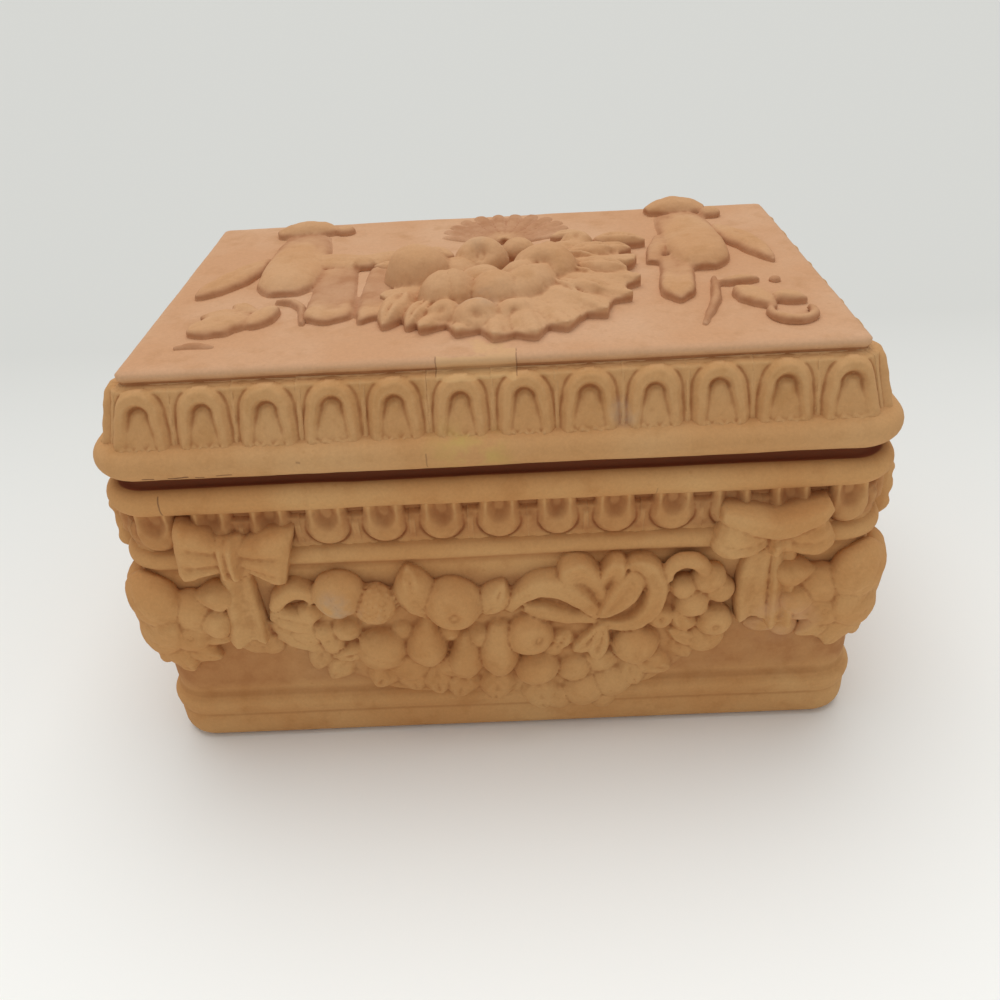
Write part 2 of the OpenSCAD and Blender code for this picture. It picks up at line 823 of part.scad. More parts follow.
// The clay of one corner, in the same local axes
module corner_block() {
    run = box_d / 4;
    core = outward(field_inset) / 2;
    rotate([0, 0, -90])
        rotate_extrude(angle = 90)
            laid_section();
    rotate([90, 0, -90])
        linear_extrude(height = run)
            laid_section();
    translate([0, run, 0])
        rotate([90, 0, 0])
            linear_extrude(height = run)
                laid_section();
    translate([-run, -core, 0])
        cube([run + core, run + core, seat_z]);
}

// sx is 1 at the right end and -1 at the left, sy is -1 at the front
module corner_cluster(sx, sy) {
    color(clay_deep)
        translate([sx * (half_w - corner_r), sy * (half_d - corner_r), 0])
            mirror([sx < 0 ? 1 : 0, 0, 0])
                mirror([0, sy > 0 ? 1 : 0, 0])
                    difference() {
                        cluster_form();
                        corner_block();
                    }
}

module laid_on_lid() {
    color(clay_pale)
        difference() {
            translate([0, 0, lid_top])
                children();
            translate([-half_w, -half_d, seat_z])
                cube([box_w, box_d, lid_top + slip_t - seat_z]);
        }
}

module lid_spray(rows, edge) {
    laid_on_lid() {
        spray(rows, top_half_w, top_half_d, top_half_d);
        spray_ground(rows, edge, top_half_w, top_half_d, top_half_d);
    }
}

// Open shell behind the fruit: a crowned fan with grooves between its rays
module lid_fan() {
    long = top_half_d * 0.45;
    thick = long * 0.12;
    crown_r = long * 1.8;
    tip_r = long * sin(fan_step / 2) * 1.08;
    turns = [for (i = [0:fan_rays - 1]) (i - (fan_rays - 1) / 2) * fan_step];
    laid_on_lid()
        translate([top_half_w * 0.045, top_half_d * 0.48, 0])
            rotate([0, 0, 90]) {
                round_fruit(long * 0.24);
                difference() {
                    intersection() {
                        linear_extrude(height = thick) {
                            polygon(concat([[0, 0]],
                                [for (t = turns) [long * cos(t), long * sin(t)]]));
                            for (t = turns)
                                rotate(t)
                                    translate([long, 0])
                                        circle(tip_r);
                        }
                        translate([long / 2, 0, thick - crown_r])
                            sphere(crown_r, $fn = fine_fn);
                    }
                    for (i = [0:fan_rays - 2])
                        rotate([0, 0, turns[i] + fan_step / 2])
                            translate([long * 0.34, 0, thick])
                                rotate([0, 97, 0])
                                    cylinder(r = thick / 5, h = long);
                }
            }
}

// Ribbon beside the pile: a roll at the back, a padded loop and hanging ends
module lid_ribbon(hand, tail_rows) {
    roll_r = top_half_d * 0.1;
    pad_r = top_half_d * 0.18;
    laid_on_lid() {
        translate([hand * top_half_w * 0.665, top_half_d * 0.83, -roll_r / 5])
            barrel(roll_r, roll_r * 1.6, 0.72);
        translate([hand * top_half_w * 0.635, top_half_d * 0.24, -pad_r * 0.58])
            rotate([0, 0, 90])
                barrel(pad_r, top_half_d * 0.38, 0.82);
        for (t = tail_rows)
            translate([hand * t[0] * top_half_w, t[1] * top_half_d, 0])
                pleats(t[2] * top_half_w, t[3] * top_half_d, t[4], t[5]);
    }
}

module front_garland() { garland(0, garland_shares, garland_edge_shares); }
module back_garland() { garland(2, garland_shares, garland_edge_shares); }
module left_garland() { garland(3, end_garland_shares, end_edge_shares); }
module right_garland() { garland(1, end_garland_shares, end_edge_shares); }
module front_left_bow() { wall_bow(0, -1); }
module front_right_bow() { wall_bow(0, 1); }
module back_left_bow() { wall_bow(2, 1); }
module back_right_bow() { wall_bow(2, -1); }
module left_front_bow() { wall_bow(3, 1); }
module left_back_bow() { wall_bow(3, -1); }
module right_front_bow() { wall_bow(1, -1); }
module right_back_bow() { wall_bow(1, 1); }
module front_left_cluster() { corner_cluster(-1, -1); }
module front_right_cluster() { corner_cluster(1, -1); }
module back_left_cluster() { corner_cluster(-1, 1); }
module back_right_cluster() { corner_cluster(1, 1); }
module lid_fruit_pile() { lid_spray(concat(bed_shares, pile_shares), pile_edge_shares); }
module lid_left_ribbon() { lid_ribbon(-1, left_tail_shares); }
module lid_right_ribbon() { lid_ribbon(1, right_tail_shares); }
module lid_left_spray() { lid_spray(left_spray_shares, []); }
module lid_right_spray() { lid_spray(right_spray_shares, []); }

box_body();
lid_shell();
front_garland();
back_garland();
left_garland();
right_garland();
front_left_bow();
front_right_bow();
back_left_bow();
back_right_bow();
left_front_bow();
left_back_bow();
right_front_bow();
right_back_bow();
front_left_cluster();
front_right_cluster();
back_left_cluster();
back_right_cluster();
lid_fruit_pile();
lid_fan();
lid_left_ribbon();
lid_right_ribbon();
lid_left_spray();
lid_right_spray();
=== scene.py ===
import bmesh
import bpy
import json
import math
import random
import numpy as np
from mathutils import Matrix, Vector, geometry

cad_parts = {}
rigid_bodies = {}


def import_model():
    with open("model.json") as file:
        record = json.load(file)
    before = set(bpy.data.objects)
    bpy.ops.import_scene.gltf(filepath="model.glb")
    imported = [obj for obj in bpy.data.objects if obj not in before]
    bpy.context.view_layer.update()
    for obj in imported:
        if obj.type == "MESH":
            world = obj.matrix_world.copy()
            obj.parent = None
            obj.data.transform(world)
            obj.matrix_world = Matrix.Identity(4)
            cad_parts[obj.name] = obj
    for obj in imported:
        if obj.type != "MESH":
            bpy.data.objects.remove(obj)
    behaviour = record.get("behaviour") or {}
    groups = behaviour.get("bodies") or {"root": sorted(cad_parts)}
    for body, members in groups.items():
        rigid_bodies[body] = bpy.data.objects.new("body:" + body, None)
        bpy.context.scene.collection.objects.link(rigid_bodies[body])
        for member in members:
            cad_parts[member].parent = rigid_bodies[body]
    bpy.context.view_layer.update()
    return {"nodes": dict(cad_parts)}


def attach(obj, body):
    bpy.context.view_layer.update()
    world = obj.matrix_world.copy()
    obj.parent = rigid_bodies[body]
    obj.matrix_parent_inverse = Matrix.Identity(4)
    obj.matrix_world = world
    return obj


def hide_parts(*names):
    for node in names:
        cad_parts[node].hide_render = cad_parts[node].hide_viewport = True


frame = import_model()

mm = 0.001
scene = bpy.context.scene
scene.view_settings.view_transform = "Standard"
print("frame loaded:", len(frame["nodes"]), "nodes")

# main sizes of the box, in millimetres, the same as the solids have
box = {
    "halfWidth": 132, "halfDepth": 87, "cornerRadius": 17, "fieldInset": 3.5, "fieldLow": 22,
    "rimHeight": 109.6, "seam": 116.6, "neckSetback": 9, "fillSetback": 16.4,
    "lidBeadHeight": 123.8, "archHeight": 129.3, "grooveHeight": 146.9, "lidTop": 151.7,
}

# camera, where the photographer stood
camera = {
    "lens": 33.13,
    "place": (7.3, -334.6, 271.5),
    "right": (0.99871903, -0.00687849, -0.05012974),
    "down": (-0.04557289, -0.55277014, -0.8320867),
    "forward": (-0.02198672, 0.83330538, -0.55237553),
}


def makeCamera(sizes):
    data = bpy.data.cameras.new("camera")
    data.lens, data.sensor_width = sizes["lens"], 36
    data.clip_start, data.clip_end = 0.01, 20
    eye = bpy.data.objects.new("camera", data)
    scene.collection.objects.link(eye)
    right, down, ahead = (Vector(sizes[k]).normalized() for k in ("right", "down", "forward"))
    turn = Matrix((right, -down, -ahead)).transposed().to_4x4()
    eye.matrix_world = Matrix.Translation(Vector(sizes["place"]) * mm) @ turn
    scene.camera = eye


makeCamera(camera)


# small node helpers
def addNode(tree, kind, inputs=None, **settings):
    node = tree.nodes.new(kind)
    for name, value in settings.items():
        setattr(node, name, value)
    for key, value in (inputs or {}).items():
        if isinstance(value, bpy.types.NodeSocket):
            tree.links.new(value, node.inputs[key])
        else:
            node.inputs[key].default_value = value
    return node


def calc(tree, operation, *values):
    return addNode(tree, "ShaderNodeMath", dict(enumerate(values)), operation=operation).outputs[0]


def plus(tree, a, b):
    return calc(tree, "ADD", a, b)


def minus(tree, a, b):
    return calc(tree, "SUBTRACT", a, b)


def times(tree, a, b):
    return calc(tree, "MULTIPLY", a, b)


def vectorCalc(tree, operation, *values):
    keys = (0, "Scale") if operation == "SCALE" else (0, 1)
    node = addNode(tree, "ShaderNodeVectorMath", dict(zip(keys, values)), operation=operation)
    return node.outputs["Value" if operation in ("LENGTH", "DISTANCE") else "Vector"]


def split(tree, vector):
    return addNode(tree, "ShaderNodeSeparateXYZ", {"Vector": vector}).outputs


def vectorOf(tree, **parts):
    return addNode(tree, "ShaderNodeCombineXYZ", parts).outputs[0]


def ramp(tree, value, start, end, high=1.0, low=0.0):
    # low up to the start, high from the end on
    inputs = {"Value": value, 1: start, 2: end, 3: low, 4: high}
    return addNode(tree, "ShaderNodeMapRange", inputs).outputs[0]


def mixColour(tree, factor, first, second, blend="MIX"):
    inputs = {0: factor, 6: first, 7: second}
    return addNode(tree, "ShaderNodeMix", inputs, data_type="RGBA", blend_type=blend).outputs[2]


def around1(tree, spread, seed, more=None):
    # a random size near 1
    inputs = {2: minus(tree, 1.0, spread), 3: plus(tree, 1.0, spread), "Seed": seed, **(more or {})}
    return addNode(tree, "FunctionNodeRandomValue", inputs, data_type="FLOAT").outputs[1]


def newTree(name, **kinds):
    # kinds of input, each with the names of its sockets
    tree = bpy.data.node_groups.new(name, "GeometryNodeTree")
    face = tree.interface
    face.new_socket("Geometry", in_out="OUTPUT", socket_type="NodeSocketGeometry")
    for kind, labels in dict(Geometry=["Geometry"], **kinds, Material=["Material"]).items():
        for label in labels:
            face.new_socket(label, in_out="INPUT", socket_type="NodeSocket" + kind)
    return tree, tree.nodes.new("NodeGroupInput").outputs


def endTree(tree, given, shape):
    real = addNode(tree, "GeometryNodeRealizeInstances", {"Geometry": shape})
    smooth = addNode(tree, "GeometryNodeSetShadeSmooth", {"Geometry": real.outputs[0]})
    coat = addNode(tree, "GeometryNodeSetMaterial", {"Geometry": smooth.outputs[0],
                                                     "Material": given["Material"]})
    tree.links.new(coat.outputs[0], tree.nodes.new("NodeGroupOutput").inputs[0])
    return tree


def addTree(obj, tree, values):
    modifier = obj.modifiers.new(tree.name, "NODES")
    modifier.node_group = tree
    for item in tree.interface.items_tree:
        if item.in_out == "INPUT" and item.name in values:
            modifier[item.identifier] = values[item.name]


def settle(obj):
    # turns whatever the modifiers make into the object's own plain mesh
    depsgraph = bpy.context.evaluated_depsgraph_get()
    mesh = bpy.data.meshes.new_from_object(obj.evaluated_get(depsgraph), depsgraph=depsgraph)
    obj.modifiers.clear()
    obj.data = mesh
    return obj


# clay finish
clayColours = {
    "body": (0.58, 0.30, 0.145, 1), "bodyPale": (0.65, 0.385, 0.21, 1), "bodyDeep": (0.40, 0.165, 0.062, 1),
    "lid": (0.585, 0.32, 0.17, 1), "lidPale": (0.63, 0.38, 0.225, 1), "lidDeep": (0.43, 0.21, 0.085, 1),
    # painted shade: the first colour on this line tints the sides and raised relief, the second darkens
    # hollows
    "front": (0.93, 0.90, 0.66, 1), "paintedCreviceShade": (0.31, 0.105, 0.04, 1),
    # painted shadow: the last colour on this line darkens the slit under the lid
    "smudge": (0.44, 0.34, 0.25, 1), "stain": (0.55, 0.38, 0.12, 1), "gap": (0.29, 0.095, 0.042, 1),
    "scratch": (0.17, 0.08, 0.04, 1), "mended": (0.66, 0.42, 0.19, 1),
}
clayGrain = {"broad": 22.0, "cloud": 95.0, "grain": 900.0, "pits": 170.0, "shine": 0.16,
             "bumpStrength": 0.3, "bumpDepth": 0.0006}
# heights between which shade is painted, in millimetres, each with its soft edge
paintedShadeZones = {"field": (26, 75, 3.0), "tongues": (91, 104, 1.0), "gap": (112.4, 118.6, 0.3),
             "lidFoot": (box["lidTop"] + 0.7, box["lidTop"] + 2.3, 0.5)}


def band(tree, value, low, high, edge):
    # 1 between two values, with soft edges
    up = ramp(tree, value, (low - edge) * mm, (low + edge) * mm)
    down = ramp(tree, value, (high + edge) * mm, (high - edge) * mm)
    return times(tree, up, down)


def marks(tree, where, cloud, colour, spots, scratches):
    # spots: place, reach and tint; scratches: the two ends of a short cut in the clay
    for spot, reach, tint in spots:
        far = vectorCalc(tree, "DISTANCE", where, tuple(c * mm for c in spot))
        near = ramp(tree, far, reach * mm, 0.3 * reach * mm)
        ragged = ramp(tree, cloud, 0.42, 0.66, 0.8)
        colour = mixColour(tree, times(tree, near, ragged), colour, clayColours[tint])
    x, y, z = split(tree, where)
    across = plus(tree, x, times(tree, cloud, 1.6 * mm))
    level = plus(tree, z, times(tree, cloud, 2.2 * mm))
    front = calc(tree, "LESS_THAN", y, -60 * mm)
    for x0, x1, z0, z1, strength, *tint in scratches:
        inside = times(tree, band(tree, across, x0, x1, 0.12), band(tree, level, z0, z1, 0.12))
        shown = times(tree, times(tree, inside, front), strength)
        colour = mixColour(tree, shown, colour, clayColours[tint[0] if tint else "scratch"])
    return colour


def planSetback(tree, where):
    # how far a point lies inside the outer line of the box, in plan
    radius = box["cornerRadius"]
    core = ((box["halfWidth"] - radius) * mm, (box["halfDepth"] - radius) * mm, 0)
    plan = vectorCalc(tree, "SUBTRACT", vectorCalc(tree, "ABSOLUTE", where), core)
    plan = vectorCalc(tree, "MULTIPLY", vectorCalc(tree, "MAXIMUM", plan, (0, 0, 0)), (1, 1, 0))
    return minus(tree, radius * mm, vectorCalc(tree, "LENGTH", plan))


def deepShade(tree, where, cloud, colour):
    # painted shade low between the fruit, on the tongues and round the foot of the lid's relief, and a
    # painted shadow in the slit under the lid
    setback = planSetback(tree, where)
    height = split(tree, where)[2]
    zones = {name: band(tree, height, *zone) for name, zone in paintedShadeZones.items()}
    inset = ramp(tree, setback, 0.6 * mm, 3.3 * mm, 0.45)
    low = times(tree, inset, plus(tree, zones["field"], zones["tongues"]))
    patchy = ramp(tree, cloud, 0.35, 0.6, 1.0, 0.55)
    # painted shade, patchy, and weaker round the foot of the lid's relief
    paintedShadeAmount = times(tree, calc(tree, "MAXIMUM", low, times(tree, zones["lidFoot"], 0.5)), patchy)
    colour = mixColour(tree, paintedShadeAmount, colour, clayColours["paintedCreviceShade"])
    # painted shadow in the slit between the lid and the rim, kept off the seat where the lid rests
    seat = calc(tree, "ABSOLUTE", minus(tree, height, box["seam"] * mm))
    dark = times(tree, zones["gap"], band(tree, setback, 4.7, 20, 0.4))
    dark = times(tree, dark, ramp(tree, seat, 0.15 * mm, 0.4 * mm))
    return mixColour(tree, dark, colour, clayColours["gap"])


def clayMaterial(name, tone, spots=(), scratches=()):
    base, pale, deep = (clayColours[tone + part] for part in ("", "Pale", "Deep"))
    material = bpy.data.materials.new(name)
    material.use_nodes = True
    tree = material.node_tree
    tree.nodes.clear()
    where = addNode(tree, "ShaderNodeTexCoord").outputs["Object"]

    def noise(size, detail, roughness):
        inputs = {"Vector": where, "Scale": size, "Detail": detail, "Roughness": roughness}
        return addNode(tree, "ShaderNodeTexNoise", inputs).outputs[0]

    broad = noise(clayGrain["broad"], 4.0, 0.55)
    cloud = noise(clayGrain["cloud"], 5.0, 0.6)
    grain = noise(clayGrain["grain"], 3.0, 0.7)
    pits = addNode(tree, "ShaderNodeTexVoronoi", {"Vector": where, "Scale": clayGrain["pits"],
                                                  "Randomness": 1.0}).outputs["Distance"]
    edges = addNode(tree, "ShaderNodeNewGeometry").outputs["Pointiness"]
    level = split(tree, where)[2]
    palePart = ramp(tree, broad, 0.42, 0.66, 0.8)
    colour = mixColour(tree, palePart, base, pale)
    colour = mixColour(tree, ramp(tree, cloud, 0.52, 0.75, 0.4), colour, deep)
    # painted shade in the hollows, from how concave the surface is; sharp ridges turn paler
    colour = mixColour(tree, ramp(tree, edges, 0.495, 0.45, 0.75), colour, clayColours["paintedCreviceShade"])
    colour = mixColour(tree, ramp(tree, edges, 0.51, 0.56, 0.6), colour, pale)
    colour = mixColour(tree, 1.0, colour, ramp(tree, grain, 0.3, 0.7, 1.04, 0.94), "MULTIPLY")
    colour = mixColour(tree, times(tree, ramp(tree, pits, 0.13, 0.07, 0.35), palePart), colour, deep)
    # painted shade: the sides and what stands up on the lid are tinted darker and yellower than the lit flat
    # top
    for start, end, amount in ((151.5, 146.5, 0.9), (152.3, 155.0, 0.4)):
        share = ramp(tree, level, start * mm, end * mm, amount)
        colour = mixColour(tree, share, colour, clayColours["front"], "MULTIPLY")
    colour = marks(tree, where, cloud, colour, spots, scratches)
    colour = deepShade(tree, where, cloud, colour)
    height = plus(tree, times(tree, grain, 0.35), times(tree, cloud, 0.5))
    height = plus(tree, height, times(tree, ramp(tree, pits, 0.0, 0.22), 0.12))
    bump = addNode(tree, "ShaderNodeBump", {"Height": height, "Strength": clayGrain["bumpStrength"],
                                            "Distance": clayGrain["bumpDepth"]})
    shader = addNode(tree, "ShaderNodeBsdfPrincipled", {
        "Base Color": colour, "Roughness": ramp(tree, cloud, 0.0, 1.0, 0.97, 0.84),
        "Normal": bump.outputs[0], "Specular IOR Level": clayGrain["shine"]})
    addNode(tree, "ShaderNodeOutputMaterial", {"Surface": shader.outputs[0]})
    return material


# a scratch is given by its ends along the front and up it, in millimetres, and how dark it is
bodyMarks = {
    "spots": [((-58, -93, 70), 8, "smudge"), ((-46, -91, 66), 5, "smudge"), ((96, -90, 50), 16, "bodyPale")],
    "scratches": [(-109.3, -108.8, 107.5, 114.5, 0.7), (52.0, 52.4, 106, 110, 0.3)],
}
lidMarks = {
    "spots": [((-4, -44, 158), 8, "smudge"), ((-4, 2, 160), 6, "smudge"), ((-8, -86, 125), 16, "stain"),
              ((41, -80, 134), 6, "smudge")],
    "scratches": [(-112.0, -108.0, 121.4, 122.1, 0.8), (-103.5, -97.0, 121.5, 122.2, 0.9),
                  (-95.0, -92.0, 121.2, 121.8, 0.8), (-88.0, -83.0, 121.8, 122.4, 0.7),
                  (-20.9, -20.5, 121.5, 127, 0.5), (-16.6, -16.2, 147.5, 152.5, 0.6),
                  (8.6, 9.0, 147.5, 152.5, 0.55), (-62.0, -60.5, 125.3, 126.0, 0.4),
                  (-16.2, 8.6, 146.5, 152.6, 0.4, "mended")],
}
bodyClay = clayMaterial("bodyClay", "body", **bodyMarks)
lidClay = clayMaterial("lidClay", "lid", **lidMarks)
for cadName, cadObject in frame["nodes"].items():
    cadObject.data.materials.clear()
    cadObject.data.materials.append(lidClay if cadName.startswith("lid") else bodyClay)
print("clay mixed")


# clay wear: slow waves of hand work and a fine grain, all in geometry
def makeWearTree():
    tree, given = newTree("clayWear", Float=["Swell", "Swell size", "Grain", "Grain size", "Seed",
                                             "Rest height"])
    where = addNode(tree, "GeometryNodeInputPosition").outputs[0]
    normal = addNode(tree, "GeometryNodeInputNormal").outputs[0]

    def wave(amount, size, extra):
        inputs = {"Vector": vectorCalc(tree, "SCALE", where, calc(tree, "DIVIDE", 1.0, size)),
                  "Scale": 1.0, "Detail": 2.0, "W": plus(tree, given["Seed"], extra)}
        cloud = addNode(tree, "ShaderNodeTexNoise", inputs, noise_dimensions="4D")
        return times(tree, minus(tree, cloud.outputs[0], 0.5), times(tree, amount, 2.0))

    push = plus(tree, wave(given["Swell"], given["Swell size"], 0.0),
                wave(given["Grain"], given["Grain size"], 7.3))
    above = calc(tree, "DIVIDE", minus(tree, split(tree, where)[2], given["Rest height"]), 3 * mm)
    held = addNode(tree, "ShaderNodeClamp", {"Value": above}).outputs[0]
    offset = vectorCalc(tree, "SCALE", normal, times(tree, push, held))
    pushed = addNode(tree, "GeometryNodeSetPosition", {"Geometry": given["Geometry"], "Offset": offset})
    return endTree(tree, given, pushed.outputs[0])


wearTree = makeWearTree()


def wear(obj, material, swell, swellSize, grain, grainSize, seed, restHeight=-1000):
    # the foot stays flat below the rest height
    addTree(obj, wearTree, {"Swell": swell * mm, "Swell size": swellSize * mm, "Grain": grain * mm,
                            "Grain size": grainSize * mm, "Seed": float(seed),
                            "Rest height": restHeight * mm, "Material": material})


point = ([(0, 0, 0)], [])


def meshObject(name, form=point):
    verts, faces = form
    mesh = bpy.data.meshes.new(name)
    mesh.from_pydata((np.asarray(verts) * mm).tolist(), [], faces)
    mesh.validate()
    obj = bpy.data.objects.new(name, mesh)
    scene.collection.objects.link(obj)
    return obj


def takeForm(obj):
    # the mesh as points and faces in millimetres, and the object is gone
    verts = np.array([v.co for v in obj.data.vertices]) / mm
    faces = [tuple(p.vertices) for p in obj.data.polygons]
    bpy.data.objects.remove(obj)
    return verts, faces


def finishPiece(obj, body, slotName, *nodes):
    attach(obj, body)
    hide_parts(*nodes)


# walls of the box and of the lid: one section swept round the plan
def makeSweepTree():
    tree, given = newTree("mouldingSweep", Object=["Section"],
                          Float=["Width", "Depth", "Corner radius", "Step"])
    path = addNode(tree, "GeometryNodeCurvePrimitiveQuadrilateral", {"Width": given["Width"],
                                                                     "Height": given["Depth"]})
    rounded = addNode(tree, "GeometryNodeFilletCurve", {"Curve": path.outputs[0], "Count": 14,
                                                        "Radius": given["Corner radius"]}, mode="POLY")
    rounded.inputs["Limit Radius"].default_value = True
    even = addNode(tree, "GeometryNodeResampleCurve", {"Curve": rounded.outputs[0],
                                                       "Length": given["Step"]}, mode="LENGTH")
    upright = addNode(tree, "GeometryNodeSetCurveNormal", {"Curve": even.outputs[0]}, mode="Z_UP")
    section = addNode(tree, "GeometryNodeObjectInfo", {"Object": given["Section"]},
                      transform_space="ORIGINAL")
    line = addNode(tree, "GeometryNodeMeshToCurve", {"Mesh": section.outputs["Geometry"]})
    swept = addNode(tree, "GeometryNodeCurveToMesh", {"Curve": upright.outputs[0],
                                                      "Profile Curve": line.outputs[0]})
    return endTree(tree, given, swept.outputs[0])


sweepTree = makeSweepTree()


def arc(cx, cz, r, start, end, count):
    turns = [math.radians(start + (end - start) * i / count) for i in range(count + 1)]
    return [(cx + r * math.cos(a), cz + r * math.sin(a)) for a in turns]


def evenly(points, step):
    out = [points[0]]
    for a, b in zip(points, points[1:]):
        n = max(1, int(math.dist(a, b) / step))
        out += [(a[0] + (b[0] - a[0]) * i / n, a[1] + (b[1] - a[1]) * i / n) for i in range(1, n + 1)]
    return out


def softened(points):
    line = [np.array(p, float) for p in points]
    inner = [(a + 2 * b + c) / 4 for a, b, c in zip(line, line[1:], line[2:])]
    return [line[0]] + inner + [line[-1]]


def openRims(shell):
    # the open edges, walked round into loops of points
    left = {v for e in shell.edges if e.is_boundary for v in e.verts}
    rims = []
    while left:
        rim = [min(left, key=lambda v: v.index)]
        while rim[-1] in left:
            left.discard(rim[-1])
            ahead = [e.other_vert(rim[-1]) for e in rim[-1].link_edges if e.is_boundary]
            ahead = [v for v in ahead if v in left]
            if not ahead:
                break
            rim.append(ahead[0])
        rims.append(rim)
    return rims


def capRim(shell, rim, spacing, inner=()):
    # fills a flat rim with small triangles, round an inner loop if there is one
    height = rim[0].co.z
    known = list(rim) + list(inner)
    edgePoints = [v.co.xy for v in known]
    joins = [(i, (i + 1) % len(rim)) for i in range(len(rim))]
    joins += [(len(rim) + i, len(rim) + (i + 1) % len(inner)) for i in range(len(inner))]
    reachX, reachY = (max(abs(v.co[i]) for v in rim) - spacing * 0.6 * mm for i in (0, 1))
    fillPoints = []
    if not inner:
        nx, ny = int(2 * reachX / mm / spacing), int(2 * reachY / mm / spacing)
        fillPoints = [Vector((reachX * (2 * i / nx - 1), reachY * (2 * j / ny - 1)))
                      for i in range(nx + 1) for j in range(ny + 1)]
    coords, _, faces, origin, _, _ = geometry.delaunay_2d_cdt(edgePoints + fillPoints, joins, [], 1, 1e-7)
    verts = []
    for co, source in zip(coords, origin):
        if source and source[0] < len(known):
            verts.append(known[source[0]])
        else:
            verts.append(shell.verts.new((co.x, co.y, height)))
    clearX, clearY = (max((abs(v.co[i]) for v in inner), default=0) - 0.01 * mm for i in (0, 1))
    for face in faces:
        middle = sum((coords[i] for i in face), Vector((0, 0))) / len(face)
        within = abs(middle.x) < clearX and abs(middle.y) < clearY
        if inner and within and all(verts[i] in inner for i in face):
            continue
        shell.faces.new([verts[i] for i in face])


def planLoop(setback, radius, step):
    w, d = box["halfWidth"] - setback - radius, box["halfDepth"] - setback - radius
    points = []
    for cx, cy, start in ((w, d, 0), (-w, d, 90), (-w, -d, 180), (w, -d, 270)):
        points += arc(cx, cy, radius, start, start + 90, 5)
    return evenly(points + [points[0]], step)[:-1]


def wallHollow(shell, rim, hollow):
    # the underside of the lid: a flat ring, an inner wall and its ceiling
    low = rim[0].co.z
    loops = []
    for height in (low, low + 0.6 * (hollow["height"] * mm - low), hollow["height"] * mm):
        loops.append([shell.verts.new((x * mm, y * mm, height))
                      for x, y in planLoop(hollow["setback"], hollow["radius"], 5)])
    capRim(shell, rim, 9, loops[0])
    for lower, upper in zip(loops, loops[1:]):
        for i in range(len(lower)):
            j = (i + 1) % len(lower)
            shell.faces.new((lower[i], lower[j], upper[j], upper[i]))
    capRim(shell, loops[-1], 9)


def sweepWall(name, section, material, seed, w):
    # the section gives points (setback from the rim bead, height), inside first and round to the inside
    profile = bpy.data.meshes.new(name + "Section")
    profile.from_pydata([(-setback * mm, -height * mm, 0) for setback, height in section],
                        [(i, i + 1) for i in range(len(section) - 1)], [])
    guide = bpy.data.objects.new(name + "Section", profile)
    scene.collection.objects.link(guide)
    wall = meshObject(name)
    addTree(wall, sweepTree, {"Width": 2 * box["halfWidth"] * mm, "Depth": 2 * box["halfDepth"] * mm,
                              "Corner radius": box["cornerRadius"] * mm, "Step": 1.9 * mm,
                              "Section": guide, "Material": material})
    settle(wall)
    bpy.data.objects.remove(guide)
    shell = bmesh.new()
    shell.from_mesh(wall.data)
    bmesh.ops.remove_doubles(shell, verts=shell.verts, dist=0.01 * mm)
    for rim in openRims(shell):
        if "hollow" in w and rim[0].co.z < 0.13:
            wallHollow(shell, rim, w["hollow"])
        else:
            capRim(shell, rim, w["capSpacing"])
    bmesh.ops.recalc_face_normals(shell, faces=shell.faces)
    shell.to_mesh(wall.data)
    shell.free()
    wear(wall, material, w["swell"], 34, 0.1, 3.2, seed, w["restHeight"])
    return settle(wall)


boxWall = {"wallSetback": 12, "floorHeight": 8, "coveRadius": 4, "smallBeadHeight": 86.0, "rimBead": 5.1,
           "smallBead": 4, "plinthBead": 4.5, "foot": 5, "swell": 0.55, "restHeight": 1.0, "capSpacing": 9}


def boxSection(w):
    rim, fillet, plinthTop = box["rimHeight"], w["smallBeadHeight"], box["fieldLow"]
    wall, neck, cove = w["wallSetback"], box["neckSetback"], w["coveRadius"]
    line = [(box["fillSetback"], 0), (7, 0)]
    line += arc(2 + w["foot"], w["foot"], -w["foot"], 90, 0, 6)[1:]
    line += [(2, 11.6), (2.5, 12.3), (2.5, 12.9), (1.7, 13.5)]
    line += arc(1 + w["plinthBead"], plinthTop - w["plinthBead"], -w["plinthBead"], 0, -62, 6)
    line += [(4.2, plinthTop + 0.8), (3.7, plinthTop + 4), (3.5, 80.8)]
    line += [(4.0, fillet - 3.4)] + arc(1 + w["smallBead"], fillet, -w["smallBead"], 38, -70, 8)
    line += [(6, fillet + 4.4), (6, rim - 5.3)]
    line += arc(w["rimBead"] + 0.1, rim, -w["rimBead"], 74, -72, 12)
    line += [(5.2, rim + 4.6), (8.6, rim + 3.6), (neck, rim + 4.4), (neck, box["seam"]), (wall, box["seam"])]
    line += [(wall, w["floorHeight"] + cove)]
    line += arc(wall + cove, w["floorHeight"] + cove, -cove, 0, 90, 4)[1:]
    line += [(box["fillSetback"], w["floorHeight"])]
    return softened(evenly(line, 1.5))


lidWall = {"beadRadius": 5.5, "ringSetback": 13.5, "ringLow": 110.6, "swell": 0.5, "restHeight": -1000,
           "capSpacing": 4, "hollow": {"setback": 21, "radius": 4.25, "height": 143.7}}


def lidSection(w):
    bead, top, groove = box["lidBeadHeight"], box["lidTop"], box["grooveHeight"]
    ring, neck = w["ringSetback"], box["neckSetback"]
    line = [(box["fillSetback"], w["ringLow"]), (ring, w["ringLow"]), (ring, box["seam"])]
    line += [(neck, box["seam"]), (neck, bead - 5.2)]
    line += arc(w["beadRadius"] - 0.2, bead, -w["beadRadius"], 78, -84, 13)
    line += [(7, box["archHeight"] + 0.6), (12.5, groove), (15, groove + 0.2)]
    line += [(15, groove + 1.4), (13.2, groove + 1.9), (13.4, top - 1.0), (14.4, top)]
    line += [(box["fillSetback"], top)]
    return softened(evenly(line, 1.5))


